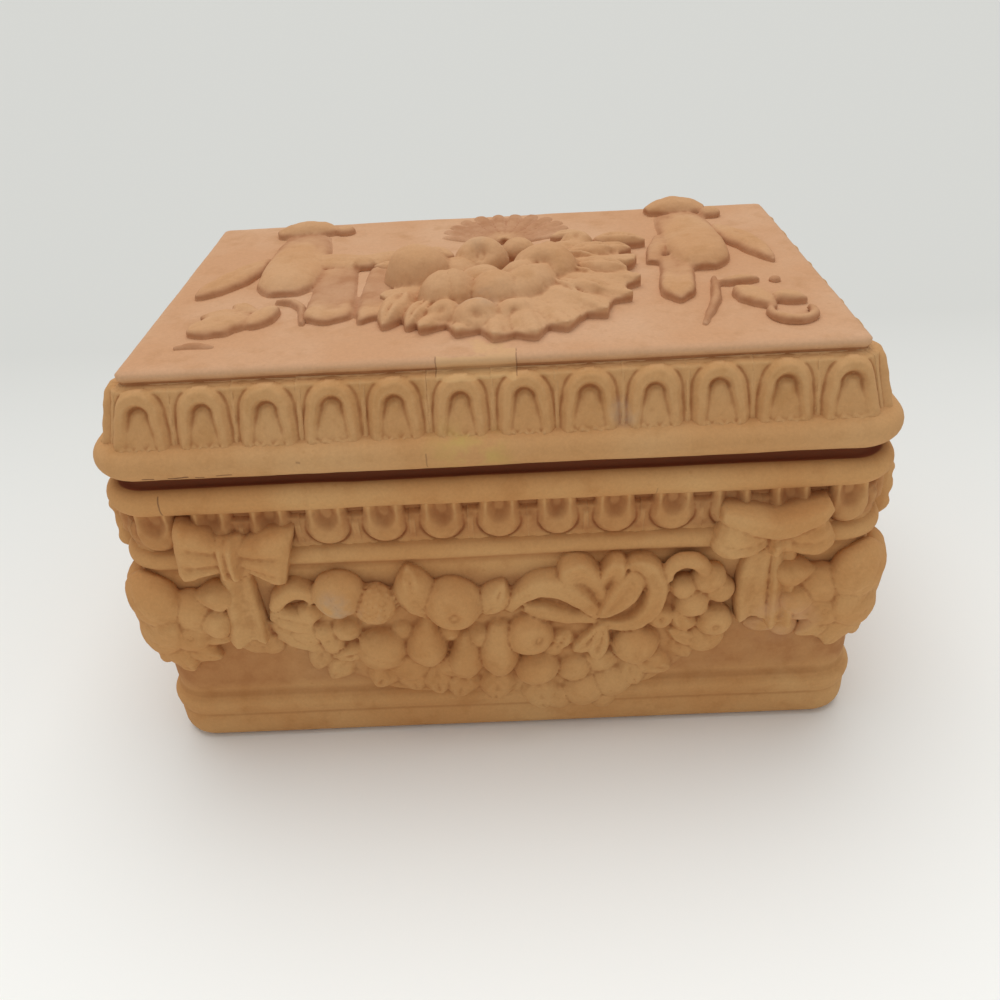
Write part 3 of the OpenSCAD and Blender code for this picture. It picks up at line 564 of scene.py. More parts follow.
clayBox = sweepWall("clayBox", boxSection(boxWall), bodyClay, 3.1, boxWall)
clayLid = sweepWall("clayLid", lidSection(lidWall), lidClay, 8.4, lidWall)
finishPiece(clayBox, "box", "body_clay", "box_body")
finishPiece(clayLid, "lid", "lid_clay", "lid_shell")
print("walls swept:", len(clayBox.data.polygons), len(clayLid.data.polygons), "faces")


# friezes: a few hand-cut stamps, set in rows round the box
def smoothStep(a, b, x):
    t = np.clip((x - a) / (b - a), 0, 1)
    return t * t * (3 - 2 * t)


def hump(x, middle, width):
    return np.exp(-((x - middle) / width) ** 2)


def arched(u):
    # up and down again between 0 and 1
    return np.sin(np.pi * np.clip(u, 0, 1))


sunk = -2.5  # how far a motif reaches back into the clay


def sheetSolid(x, y, z, back=sunk):
    # closed solid between a grid of points and a flat back
    top = np.stack([x, y, z], -1)
    nu, nv = top.shape[:2]
    under = top.copy()
    under[..., 2] = back
    n = nu * nv
    faces = []
    for i in range(nu - 1):
        for j in range(nv - 1):
            a = i * nv + j
            quad = (a, a + nv, a + nv + 1, a + 1)
            faces += [quad, tuple(n + q for q in reversed(quad))]
    ring = [i * nv for i in range(nu)] + [(nu - 1) * nv + j for j in range(1, nv)]
    ring += [i * nv + nv - 1 for i in range(nu - 2, -1, -1)] + list(range(nv - 2, 0, -1))
    for a, b in zip(ring, ring[1:] + ring[:1]):
        faces.append((b, a, n + a, n + b))
    return np.concatenate([top.reshape(-1, 3), under.reshape(-1, 3)]), faces


def gridOf(x0, x1, nx, y0, y1, ny):
    return np.meshgrid(np.linspace(x0, x1, nx), np.linspace(y0, y1, ny), indexing="ij")


archCut = {"width": 21.4, "low": -1.4, "height": 20.8, "crown": 20.0, "footHalf": 9.2, "crownHalf": 8.2,
           "ground": 1.3, "band": 3.2, "nicheFoot": 5.9, "nicheCrown": 4.3, "nicheHeight": 15.6,
           "nicheDepth": 3.2, "spandrelBack": -2.6, "back": -3.6}


def bellDepth(x, y, foot, crown, height):
    # how far a point lies inside a bell outline, in mm, negative outside
    run = np.clip(y / (height - crown), 0, 1)
    side = foot + (crown - foot) * run ** 1.4 - np.abs(x)
    head = crown - np.hypot(x, y - (height - crown))
    return np.where(y > height - crown, head, side)


def archStamp(cut, seed):
    rng = random.Random(seed)
    lean = rng.uniform(-0.35, 0.35)
    x, y = gridOf(-cut["width"] / 2, cut["width"] / 2, 53, cut["low"], cut["height"], 53)
    bx = x + lean * np.sin(y * 0.2 + seed)
    crown = cut["crownHalf"] + rng.uniform(-0.3, 0.3)
    foot = cut["footHalf"] + rng.uniform(-0.2, 0.2)
    outer = bellDepth(bx, y, foot, crown, cut["crown"] + rng.uniform(-0.3, 0.2))
    z = cut["ground"] + (cut["band"] - cut["ground"]) * smoothStep(-0.2, 2.3, outer) ** 0.8
    z -= 0.35 * hump(outer, -0.5, 0.6) * smoothStep(2, 9, y)
    z += 0.3 * hump(np.abs(x), 10.0, 0.45) * smoothStep(17, 12, y)
    slim = rng.uniform(0.96, 1.04)
    inner = bellDepth(bx * slim, y, cut["nicheFoot"], cut["nicheCrown"],
                      cut["nicheHeight"] + rng.uniform(-0.6, 0.6))
    # the niche is cut deepest under its crown and its floor comes forward to the foot
    rise = np.clip(y / cut["nicheHeight"], 0, 1)
    z -= cut["nicheDepth"] * (0.20 + 0.80 * rise ** 1.5) * smoothStep(-0.5, 1.5, inner)
    z += 0.8 * smoothStep(1.5, 3.6, inner) * smoothStep(0.3, 0.8, rise)
    ragged = 0.5 + 0.3 * np.sin(2.3 * x + seed) * np.sin(0.9 * x + 2 * seed)
    z += ragged * hump(y, 0.3 + 0.4 * np.sin(1.7 * x + 3 * seed), 0.8) * smoothStep(-0.5, 0.5, inner)
    z = np.where(outer < 0.1, z + cut["spandrelBack"] * smoothStep(18.4, 20.4, y), z)
    z += 0.14 * np.sin(1.1 * x + seed) * np.sin(0.9 * y + 2 * seed)
    return sheetSolid(x, y, z, cut["back"])


tongueCut = {"width": 20.6, "height": 16.4, "half": 6.9, "top": 6.2, "low": 14.9, "ground": 2.0,
             "proud": 4.1, "slot": 4.4, "scoop": 4.5, "scoopLow": 2.4, "scoopDepth": 3.0, "back": -3.0}


def tongueStamp(cut, seed):
    rng = random.Random(seed)
    x, y = gridOf(-cut["width"] / 2, cut["width"] / 2, 53, -cut["height"], 0.9, 45)
    bx = x + rng.uniform(-0.3, 0.3)
    drop = -y
    radius = cut["half"] + rng.uniform(-0.4, 0.3)
    low = cut["low"] - radius + rng.uniform(-0.3, 0.2)
    half = cut["top"] + (radius - cut["top"]) * smoothStep(0.0, low, drop)
    outer = np.where(drop > low, radius - np.hypot(bx, drop - low), half - np.abs(bx))
    z = cut["ground"] + (cut["proud"] - cut["ground"]) * smoothStep(-0.3, 2.4, outer) ** 0.7
    z -= 0.8 * hump(outer, -0.35, 0.5) * smoothStep(6.0, 12.0, drop)
    z += 1.3 * hump(np.abs(x), 9.7, 2.3) * smoothStep(4.0, 6.5, drop) * smoothStep(14.5, 9.0, drop)
    # between two tongues the ground is cut away right under the rim
    slot = smoothStep(cut["slot"] + rng.uniform(-0.4, 0.4), 2.6, drop) * smoothStep(0.1, -0.6, outer)
    z -= (cut["ground"] + 0.6) * slot
    # an open scoop, deepest under the rim, that runs out over a rounded lip
    wide = cut["scoop"] + rng.uniform(-0.4, 0.3)
    scoop = wide - np.hypot(bx, 0.72 * np.maximum(drop - cut["scoopLow"], 0))
    z -= cut["scoopDepth"] * smoothStep(-0.3, 2.9, scoop)
    z += 0.35 * hump(drop, 11.2, 1.8) * smoothStep(6.5, 2.0, np.abs(bx))
    z = np.where(drop > 15.2, np.minimum(z, cut["ground"] * smoothStep(16.4, 15.4, drop) + 0.2), z)
    z += 0.12 * np.sin(1.3 * x + seed) * np.sin(1.1 * y + 3 * seed)
    return sheetSolid(x, y, z, cut["back"])


def bentRound(tree, row, along, away, radius, arcRadius):
    # wraps both ends of a straight row round the corners, as far as the diagonals
    real = addNode(tree, "GeometryNodeRealizeInstances", {"Geometry": row}).outputs[0]
    x, y, z = split(tree, addNode(tree, "GeometryNodeInputPosition").outputs[0])
    run, centre = minus(tree, along, radius), minus(tree, away, radius)
    far = calc(tree, "ABSOLUTE", x)
    over = calc(tree, "MAXIMUM", minus(tree, far, run), 0.0)
    angle = calc(tree, "MINIMUM", calc(tree, "DIVIDE", over, arcRadius), math.pi / 4)
    rest = minus(tree, over, times(tree, angle, arcRadius))
    reach = minus(tree, times(tree, y, -1.0), centre)
    s, c = calc(tree, "SINE", angle), calc(tree, "COSINE", angle)
    newX = plus(tree, times(tree, reach, s), times(tree, rest, c))
    newX = plus(tree, calc(tree, "MINIMUM", far, run), newX)
    newY = plus(tree, centre, minus(tree, times(tree, reach, c), times(tree, rest, s)))
    place = vectorOf(tree, X=times(tree, newX, calc(tree, "SIGN", x)), Y=times(tree, newY, -1.0), Z=z)
    return addNode(tree, "GeometryNodeSetPosition", {"Geometry": real, "Position": place}).outputs[0]


def makeFriezeTree():
    tree, given = newTree("friezeRows", Int=["Long count", "Short count", "Seed"], Collection=["Stamps"],
                          Float=["Long pitch", "Short pitch", "Half width", "Half depth", "Corner radius",
                                 "Corner arc", "Height", "Lean", "Turn spread", "Size spread"])
    stamps = addNode(tree, "GeometryNodeCollectionInfo", {"Collection": given["Stamps"],
                                                          "Separate Children": True, "Reset Children": True})
    index = addNode(tree, "GeometryNodeInputIndex").outputs[0]
    rows = []
    for side in range(4):
        kind, away, along = "Long", "Half depth", "Half width"
        if side % 2:
            kind, away, along = "Short", "Half width", "Half depth"
        count, pitch, away, along = given[kind + " count"], given[kind + " pitch"], given[away], given[along]
        start = vectorOf(tree, X=times(tree, minus(tree, count, 1.0), times(tree, pitch, -0.5)))
        line = addNode(tree, "GeometryNodeMeshLine", {"Count": count, "Start Location": start,
                                                      "Offset": vectorOf(tree, X=pitch)},
                       mode="OFFSET", count_mode="TOTAL")
        seed = plus(tree, given["Seed"], float(side * 17))
        pick = addNode(tree, "FunctionNodeRandomValue", {4: 0, 5: 3, "ID": index, "Seed": seed},
                       data_type="INT")
        spread = {2: times(tree, given["Turn spread"], -1.0), 3: given["Turn spread"], "ID": index,
                  "Seed": plus(tree, seed, 3.0)}
        turn = addNode(tree, "FunctionNodeRandomValue", spread, data_type="FLOAT").outputs[1]
        wide = around1(tree, given["Size spread"], plus(tree, seed, 5.0), {"ID": index})
        row = addNode(tree, "GeometryNodeInstanceOnPoints", {
            "Points": line.outputs[0], "Instance": stamps.outputs[0], "Pick Instance": True,
            "Instance Index": pick.outputs[2], "Rotation": vectorOf(tree, Z=turn),
            "Scale": vectorOf(tree, X=wide, Y=1.0, Z=1.0)})
        upright = vectorOf(tree, X=minus(tree, math.pi / 2, given["Lean"]))
        back = vectorOf(tree, Y=times(tree, away, -1.0), Z=given["Height"])
        stood = addNode(tree, "GeometryNodeTransform", {"Geometry": row.outputs[0], "Translation": back,
                                                        "Rotation": upright})
        bent = bentRound(tree, stood.outputs[0], along, away, given["Corner radius"], given["Corner arc"])
        turned = addNode(tree, "GeometryNodeTransform", {"Geometry": bent,
                                                         "Rotation": (0, 0, math.pi / 2 * side)})
        rows.append(turned.outputs[0])
    whole = tree.nodes.new("GeometryNodeJoinGeometry")
    for row in reversed(rows):
        tree.links.new(row, whole.inputs[0])
    return endTree(tree, given, whole.outputs[0])


friezeTree = makeFriezeTree()


def friezeRows(name, stamp, cut, values, material, seed):
    shelf = bpy.data.collections.new(name + "Stamps")
    scene.collection.children.link(shelf)
    for i in range(4):
        cutStamp = meshObject("%s%d" % (name, i), stamp(cut, i + 1))
        scene.collection.objects.unlink(cutStamp)
        shelf.objects.link(cutStamp)
    rows = meshObject(name)
    addTree(rows, friezeTree, dict(values, Stamps=shelf, Material=material, Seed=seed))
    settle(rows)
    for cutStamp in list(shelf.objects):
        bpy.data.objects.remove(cutStamp)
    bpy.data.collections.remove(shelf)
    wear(rows, material, 0.22, 9, 0.06, 1.8, seed)
    return settle(rows)


archRow = {"Long count": 12, "Short count": 8, "Long pitch": 20.28 * mm, "Short pitch": 19.18 * mm,
           "Half width": 125 * mm, "Half depth": 80 * mm, "Corner radius": 10 * mm, "Corner arc": 8.5 * mm,
           "Height": 128.0 * mm, "Lean": math.atan(5.5 / 18.4), "Turn spread": 0.02, "Size spread": 0.03}
tongueRow = {"Long count": 13, "Short count": 8, "Long pitch": 19.14 * mm, "Short pitch": 19.85 * mm,
             "Half width": 126 * mm, "Half depth": 81 * mm, "Corner radius": 11 * mm,
             "Corner arc": 12.0 * mm, "Height": 105.0 * mm, "Lean": 0.0, "Turn spread": 0.04,
             "Size spread": 0.05}
archFrieze = friezeRows("archFrieze", archStamp, archCut, archRow, lidClay, 4)
tongueFrieze = friezeRows("tongueFrieze", tongueStamp, tongueCut, tongueRow, bodyClay, 9)
finishPiece(archFrieze, "lid", "lid_clay", "lid_shell")
finishPiece(tongueFrieze, "box", "body_clay", "box_body")
print("friezes set:", len(archFrieze.data.polygons), len(tongueFrieze.data.polygons), "faces")


# motifs: fruit, leaves, petals, ribbons, each lying on z = 0 and standing up along z
def unitBall(rings=20, around=32):
    verts, faces = [(0, 0, 1)], []
    for i in range(1, rings):
        for j in range(around):
            a, b = math.pi * i / rings, 2 * math.pi * j / around
            verts.append((math.sin(a) * math.cos(b), math.sin(a) * math.sin(b), math.cos(a)))
    verts.append((0, 0, -1))
    for j in range(around):
        k = (j + 1) % around
        faces.append((0, 1 + j, 1 + k))
        for i in range(rings - 2):
            a = 1 + i * around
            faces.append((a + j, a + around + j, a + around + k, a + k))
        faces.append((1 + (rings - 2) * around + k, 1 + (rings - 2) * around + j, len(verts) - 1))
    return np.array(verts), faces


ball = unitBall()


def unitVector(v):
    v = np.asarray(v, float)
    return v / np.linalg.norm(v)


def cutOff(verts, faces):
    # nothing reaches further back than it has to
    verts[:, 2] = np.maximum(verts[:, 2], sunk)
    return verts, faces


def roundFruit(r, seed=0, tall=1.0, navel=None, crease=None, lumps=0.03):
    # navel and crease are directions: a dimple with a bud in it, and a peach's fold
    d, faces = ball
    waves = np.sin(3.1 * d[:, 0] + seed) * np.sin(2.7 * d[:, 1] + 2 * seed)
    swell = 1 + lumps * (waves + 0.6 * np.sin(4.3 * d[:, 2] + seed))
    if navel is not None:
        near = np.arccos(np.clip(d @ unitVector(navel), -1, 1))
        swell = swell - 0.36 * hump(near, 0, 0.3) + 0.2 * hump(near, 0, 0.11)
    if crease is not None:
        swell = swell - 0.07 * hump(d @ unitVector(crease), 0, 0.1) * (d[:, 2] > -0.2)
    verts = d * swell[:, None] * r
    verts[:, 2] *= tall
    verts[:, 2] += r * tall * 0.25
    return cutOff(verts, faces)


def nut(r, long, seed=0, tilt=0.0):
    # an acorn or fig: round at one end, drawn out to a tip along +x; the tilt is in degrees
    d, faces = ball
    verts = d * r
    ahead = np.clip(d[:, 0], 0, 1)
    verts[:, 0] += ahead ** 1.6 * (long - r)
    pinch = 1 - 0.65 * ahead ** 2
    verts[:, 1] *= pinch
    verts[:, 2] = verts[:, 2] * pinch + r * 0.3
    verts *= (1 + 0.03 * np.sin(4 * d[:, 1] + seed))[:, None]
    verts, faces = cutOff(verts, faces)
    c, s = math.cos(math.radians(tilt)), math.sin(math.radians(tilt))
    return verts @ np.array([[c, 0, -s], [0, 1, 0], [s, 0, c]]), faces


def pear(r, long, seed=0, neck=0.6):
    d, faces = ball
    t = (d[:, 0] + 1) / 2
    verts = np.stack([-r + (long + r) * t, d[:, 1] * r, d[:, 2] * r], -1)
    girth = 1 - (1 - neck) * smoothStep(0.3, 0.85, t)
    verts[:, 1] *= girth
    verts[:, 2] = verts[:, 2] * girth + r * 0.35
    verts *= (1 + 0.025 * np.sin(5 * d[:, 1] + seed + 3 * t))[:, None]
    return cutOff(verts, faces)


def leaf(long, wide, rise=3.5, base=1.2, veins=5, bend=0.0, curl=0.0, notch=0.0, fold=0.55):
    # tip along +x from the stalk at the origin
    u, v = gridOf(0, 1, 46, -1, 1, 25)
    half = wide / 2 * np.sin(np.pi * u ** 0.82) ** 0.75
    half *= 1 + 0.6 * notch * np.abs(np.sin(np.pi * 3.5 * u)) - notch * 0.3
    x = long * u + np.abs(v) * notch * 2.5
    y = v * half + bend * np.sin(np.pi * u)
    crown = (1 - np.abs(v) ** 2.4) ** 0.7
    z = base + rise * crown * (0.35 + 0.65 * arched(u * 1.05) ** 0.7)
    z -= 0.45 * fold * rise * hump(v, 0, 0.26) * np.sin(np.pi * np.clip(u, 0.02, 0.95))
    z += 0.045 * rise * np.cos(2 * np.pi * (veins * u - 1.3 * np.abs(v))) * crown
    z += curl * u ** 2
    return sheetSolid(x, y, z)


def petal(long, wide, thick=6.0, dish=0.55, bend=0.0):
    # a thick petal with a rolled rim and a dished middle
    u, v = gridOf(0, 1, 44, -1, 1, 27)
    half = wide / 2 * (np.clip(1 - (2 * u - 1) ** 2, 0, 1) ** 0.6) * (0.62 + 0.38 * u)
    y = v * half + bend * np.sin(np.pi * u * 0.9) + bend * 0.5 * u
    rim = (1 - np.abs(v) ** 5) ** 0.6
    middle = hump(v, 0, 0.55) * arched(u * 1.02) ** 0.8
    z = thick * rim * (0.5 + 0.5 * arched(u * 0.9 + 0.08) ** 0.6) - dish * thick * middle * 0.8
    return sheetSolid(long * u, y, z)


def rope(points, radii, around=14):
    # a round roll of clay along a path of points
    path = np.asarray(points, float)
    verts, faces = [], []
    for i, p in enumerate(path):
        ahead = unitVector(path[min(i + 1, len(path) - 1)] - path[max(i - 1, 0)])
        side = unitVector(np.cross(ahead, (0, 0, 1)) + (0, 1e-6, 0))
        over = np.cross(side, ahead)
        for k in range(around):
            a = 2 * math.pi * k / around
            verts.append(p + radii[i] * (math.cos(a) * side + math.sin(a) * over))
    n = len(path)
    verts.append(path[0] - 0.4 * radii[0] * unitVector(path[1] - path[0]))
    verts.append(path[-1] + 0.4 * radii[-1] * unitVector(path[-1] - path[-2]))
    for k in range(around):
        j = (k + 1) % around
        for i in range(n - 1):
            a = i * around
            faces.append((a + k, a + j, a + around + j, a + around + k))
        faces.append((n * around, j, k))
        faces.append((n * around + 1, (n - 1) * around + k, (n - 1) * around + j))
    return np.array(verts), faces


def arcRope(r, start, end, thick, height=2.5, stretch=1.0):
    t = np.linspace(0, 1, 22)
    a = np.radians(start + (end - start) * t)
    points = np.stack([r * np.cos(a) * stretch, r * np.sin(a), height + 0 * a], -1)
    return rope(points, thick * (1 - 0.4 * np.abs(2 * t - 1) ** 2))


def strap(rows, count=44, across=23, crown=4.0, dish=0.0, pleats=0, pleatDepth=0.0, endWave=0.0, creases=()):
    # a strip of clay along a curved middle line; a row is (x, y, half width, thickness)
    rows = np.array(rows, float)
    at = np.concatenate([[0], np.cumsum(np.hypot(*np.diff(rows[:, :2], axis=0).T))])
    fine = np.linspace(0, at[-1], count)
    line = np.stack([np.interp(fine, at, rows[:, k]) for k in range(4)], -1)
    for _ in range(5):
        line[1:-1] = (line[:-2] + 2 * line[1:-1] + line[2:]) / 4
    ahead = np.gradient(line[:, :2], axis=0)
    ahead /= np.linalg.norm(ahead, axis=1)[:, None]
    side = np.stack([-ahead[:, 1], ahead[:, 0]], -1)
    v = np.linspace(-1, 1, across)[None, :]
    u = (fine / at[-1])[:, None]
    half, thick = line[:, 2:3], line[:, 3:4]
    wave = np.cos(np.pi * pleats * (v + 1)) if pleats else 0 * v
    xy = line[:, None, :2] + side[:, None, :] * (half * v)[..., None]
    xy = xy - ahead[:, None, :] * (endWave * wave * u ** 4)[..., None]
    top = thick * (1 - np.abs(v) ** crown) ** 0.55 - dish * thick * hump(v, 0, 0.5)
    top = top - pleatDepth * wave * (0.4 + 0.6 * u)
    for place, width, depth in creases:
        top = top - depth * hump(v, place, width) * np.sin(np.pi * u) ** 0.5
    return sheetSolid(xy[..., 0], xy[..., 1], np.maximum(top, 0.0))


def lobe(long, wide, thick=5.5, hollow=0.45):
    # a rounded petal with a hollow that opens towards its foot
    u, v = gridOf(0, 1, 36, -1, 1, 25)
    half = wide / 2 * np.sqrt(np.clip(1 - np.clip((u - 0.55) / 0.45, 0, 1) ** 2.2, 0, 1))
    half = half * (0.45 + 0.55 * np.sqrt(np.clip(u / 0.55, 0, 1)))
    rim = (1 - np.abs(v) ** 6) ** 0.5 * np.clip((1 - u) / 0.1, 0, 1) ** 0.4
    cup = hump(v, 0, 0.5) * hump(u, 0.45, 0.33)
    z = thick * rim * (0.45 + 0.55 * u ** 0.7) - hollow * thick * cup
    return sheetSolid(long * u, v * half, z)


def skirt(edge, inner, rise, fold, low=1.6, steps=150):
    # a draped leaf round the fruit: edge gives (x, y, 1 for a point or 0 for a notch)
    edge = np.array(edge, float)
    angle, far = np.unwrap(np.arctan2(edge[:, 1], edge[:, 0])), np.hypot(edge[:, 0], edge[:, 1])
    a, s = gridOf(0, len(edge) - 1, steps, 0, 1, 24)
    k = np.arange(len(edge))
    frac = a - np.floor(a)
    ridge = np.interp(np.floor(a) + frac * frac * (3 - 2 * frac), k, edge[:, 2])
    reach = inner + (np.interp(a, k, far) - inner) * s
    turn = np.interp(a, k, angle)
    z = rise * (1 - 0.40 * s ** 1.6) + fold * (ridge - 0.5) * s ** 2.2
    z = z + 0.7 * np.sin(1.3 * a + 0.6) * np.sin(np.pi * s) - 0.6 * hump(frac, 0.5, 0.14) * s ** 3
    return sheetSolid(reach * np.cos(turn), reach * np.sin(turn), np.maximum(z, low), -1.5)


# berries: grains of clay set over a small ball
def makeBerryTree():
    tree, given = newTree("berryGrains", Float=["Radius", "Grain radius", "Size spread"], Int=["Seed"])
    core = addNode(tree, "GeometryNodeMeshIcoSphere", {"Radius": times(tree, given["Radius"], 0.86),
                                                       "Subdivisions": 3})
    grain = addNode(tree, "GeometryNodeMeshIcoSphere", {"Radius": given["Grain radius"], "Subdivisions": 1})
    size = around1(tree, given["Size spread"], given["Seed"])
    grains = addNode(tree, "GeometryNodeInstanceOnPoints", {"Points": core.outputs[0],
                                                            "Instance": grain.outputs[0], "Scale": size})
    whole = tree.nodes.new("GeometryNodeJoinGeometry")
    tree.links.new(core.outputs[0], whole.inputs[0])
    tree.links.new(grains.outputs[0], whole.inputs[0])
    return endTree(tree, given, whole.outputs[0])


berryTree = makeBerryTree()


def berryForm(r, grain, seed):
    lump = meshObject("berry")
    addTree(lump, berryTree, {"Radius": r * mm, "Grain radius": grain * mm, "Size spread": 0.25,
                              "Seed": seed, "Material": bodyClay})
    verts, faces = takeForm(settle(lump))
    verts[:, 2] += 0.35 * r
    return cutOff(verts, faces)


berryA, berryB = berryForm(8.0, 1.15, 1), berryForm(7.6, 1.2, 5)


# where things sit: frames on the walls, round the corners and on the lid
def moved(form, at=(0, 0, 0), turn=0, scale=(1, 1, 1)):
    c, s = math.cos(math.radians(turn)), math.sin(math.radians(turn))
    verts = np.asarray(form[0], float) * np.asarray(scale, float)
    verts = verts @ np.array([[c, s, 0], [-s, c, 0], [0, 0, 1]])
    return verts + np.asarray(at, float), form[1]


def setOn(form, ground):
    # ground is a 4 x 4 frame: along, up and out of the surface, and a place
    m = np.array(ground)
    return form[0] @ m[:3, :3].T + m[:3, 3], form[1]


def frameOf(along, up, out, at):
    m = Matrix.Identity(4)
    for i in range(3):
        m[i][0], m[i][1], m[i][2], m[i][3] = along[i], up[i], out[i], at[i]
    return m


def wallGround(side, along, up):
    away = (box["halfDepth"] if side % 2 == 0 else box["halfWidth"]) - box["fieldInset"]
    a = math.pi / 2 * side
    ahead, out = Vector((math.cos(a), math.sin(a), 0)), Vector((math.sin(a), -math.cos(a), 0))
    return frameOf(ahead, Vector((0, 0, 1)), out, ahead * along + out * away + Vector((0, 0, up)))


def cornerGround(sx, sy, along, up):
    # along runs round the corner from its diagonal, positive anticlockwise seen from above
    r = box["cornerRadius"] - box["fieldInset"]
    half = r * math.pi / 4
    bent = max(-half, min(half, along)) / r
    a = math.atan2(sy, sx) + bent
    out, ahead = Vector((math.cos(a), math.sin(a), 0)), Vector((-math.sin(a), math.cos(a), 0))
    centre = Vector((sx * (box["halfWidth"] - box["cornerRadius"]),
                     sy * (box["halfDepth"] - box["cornerRadius"]), up))
    return frameOf(ahead, Vector((0, 0, 1)), out, centre + out * r + ahead * (along - bent * r))


motifKinds = {"fruit": roundFruit, "nut": nut, "pear": pear, "leaf": leaf, "petal": petal, "lobe": lobe,
              "strap": strap, "ring": arcRope, "skirt": skirt}


def sprig(kind, x, y, turn, shape):
    return moved(motifKinds[kind](**shape), (x, y, 0), turn)


def lay(kind, x, y, turn=0, **shape):
    # motif, place along the wall, height up the wall or way across the lid, turn, and its own sizes
    return kind, x, y, turn, shape


def strip(rows, **shape):
    return lay("strap", 0, 0, rows=rows, **shape)


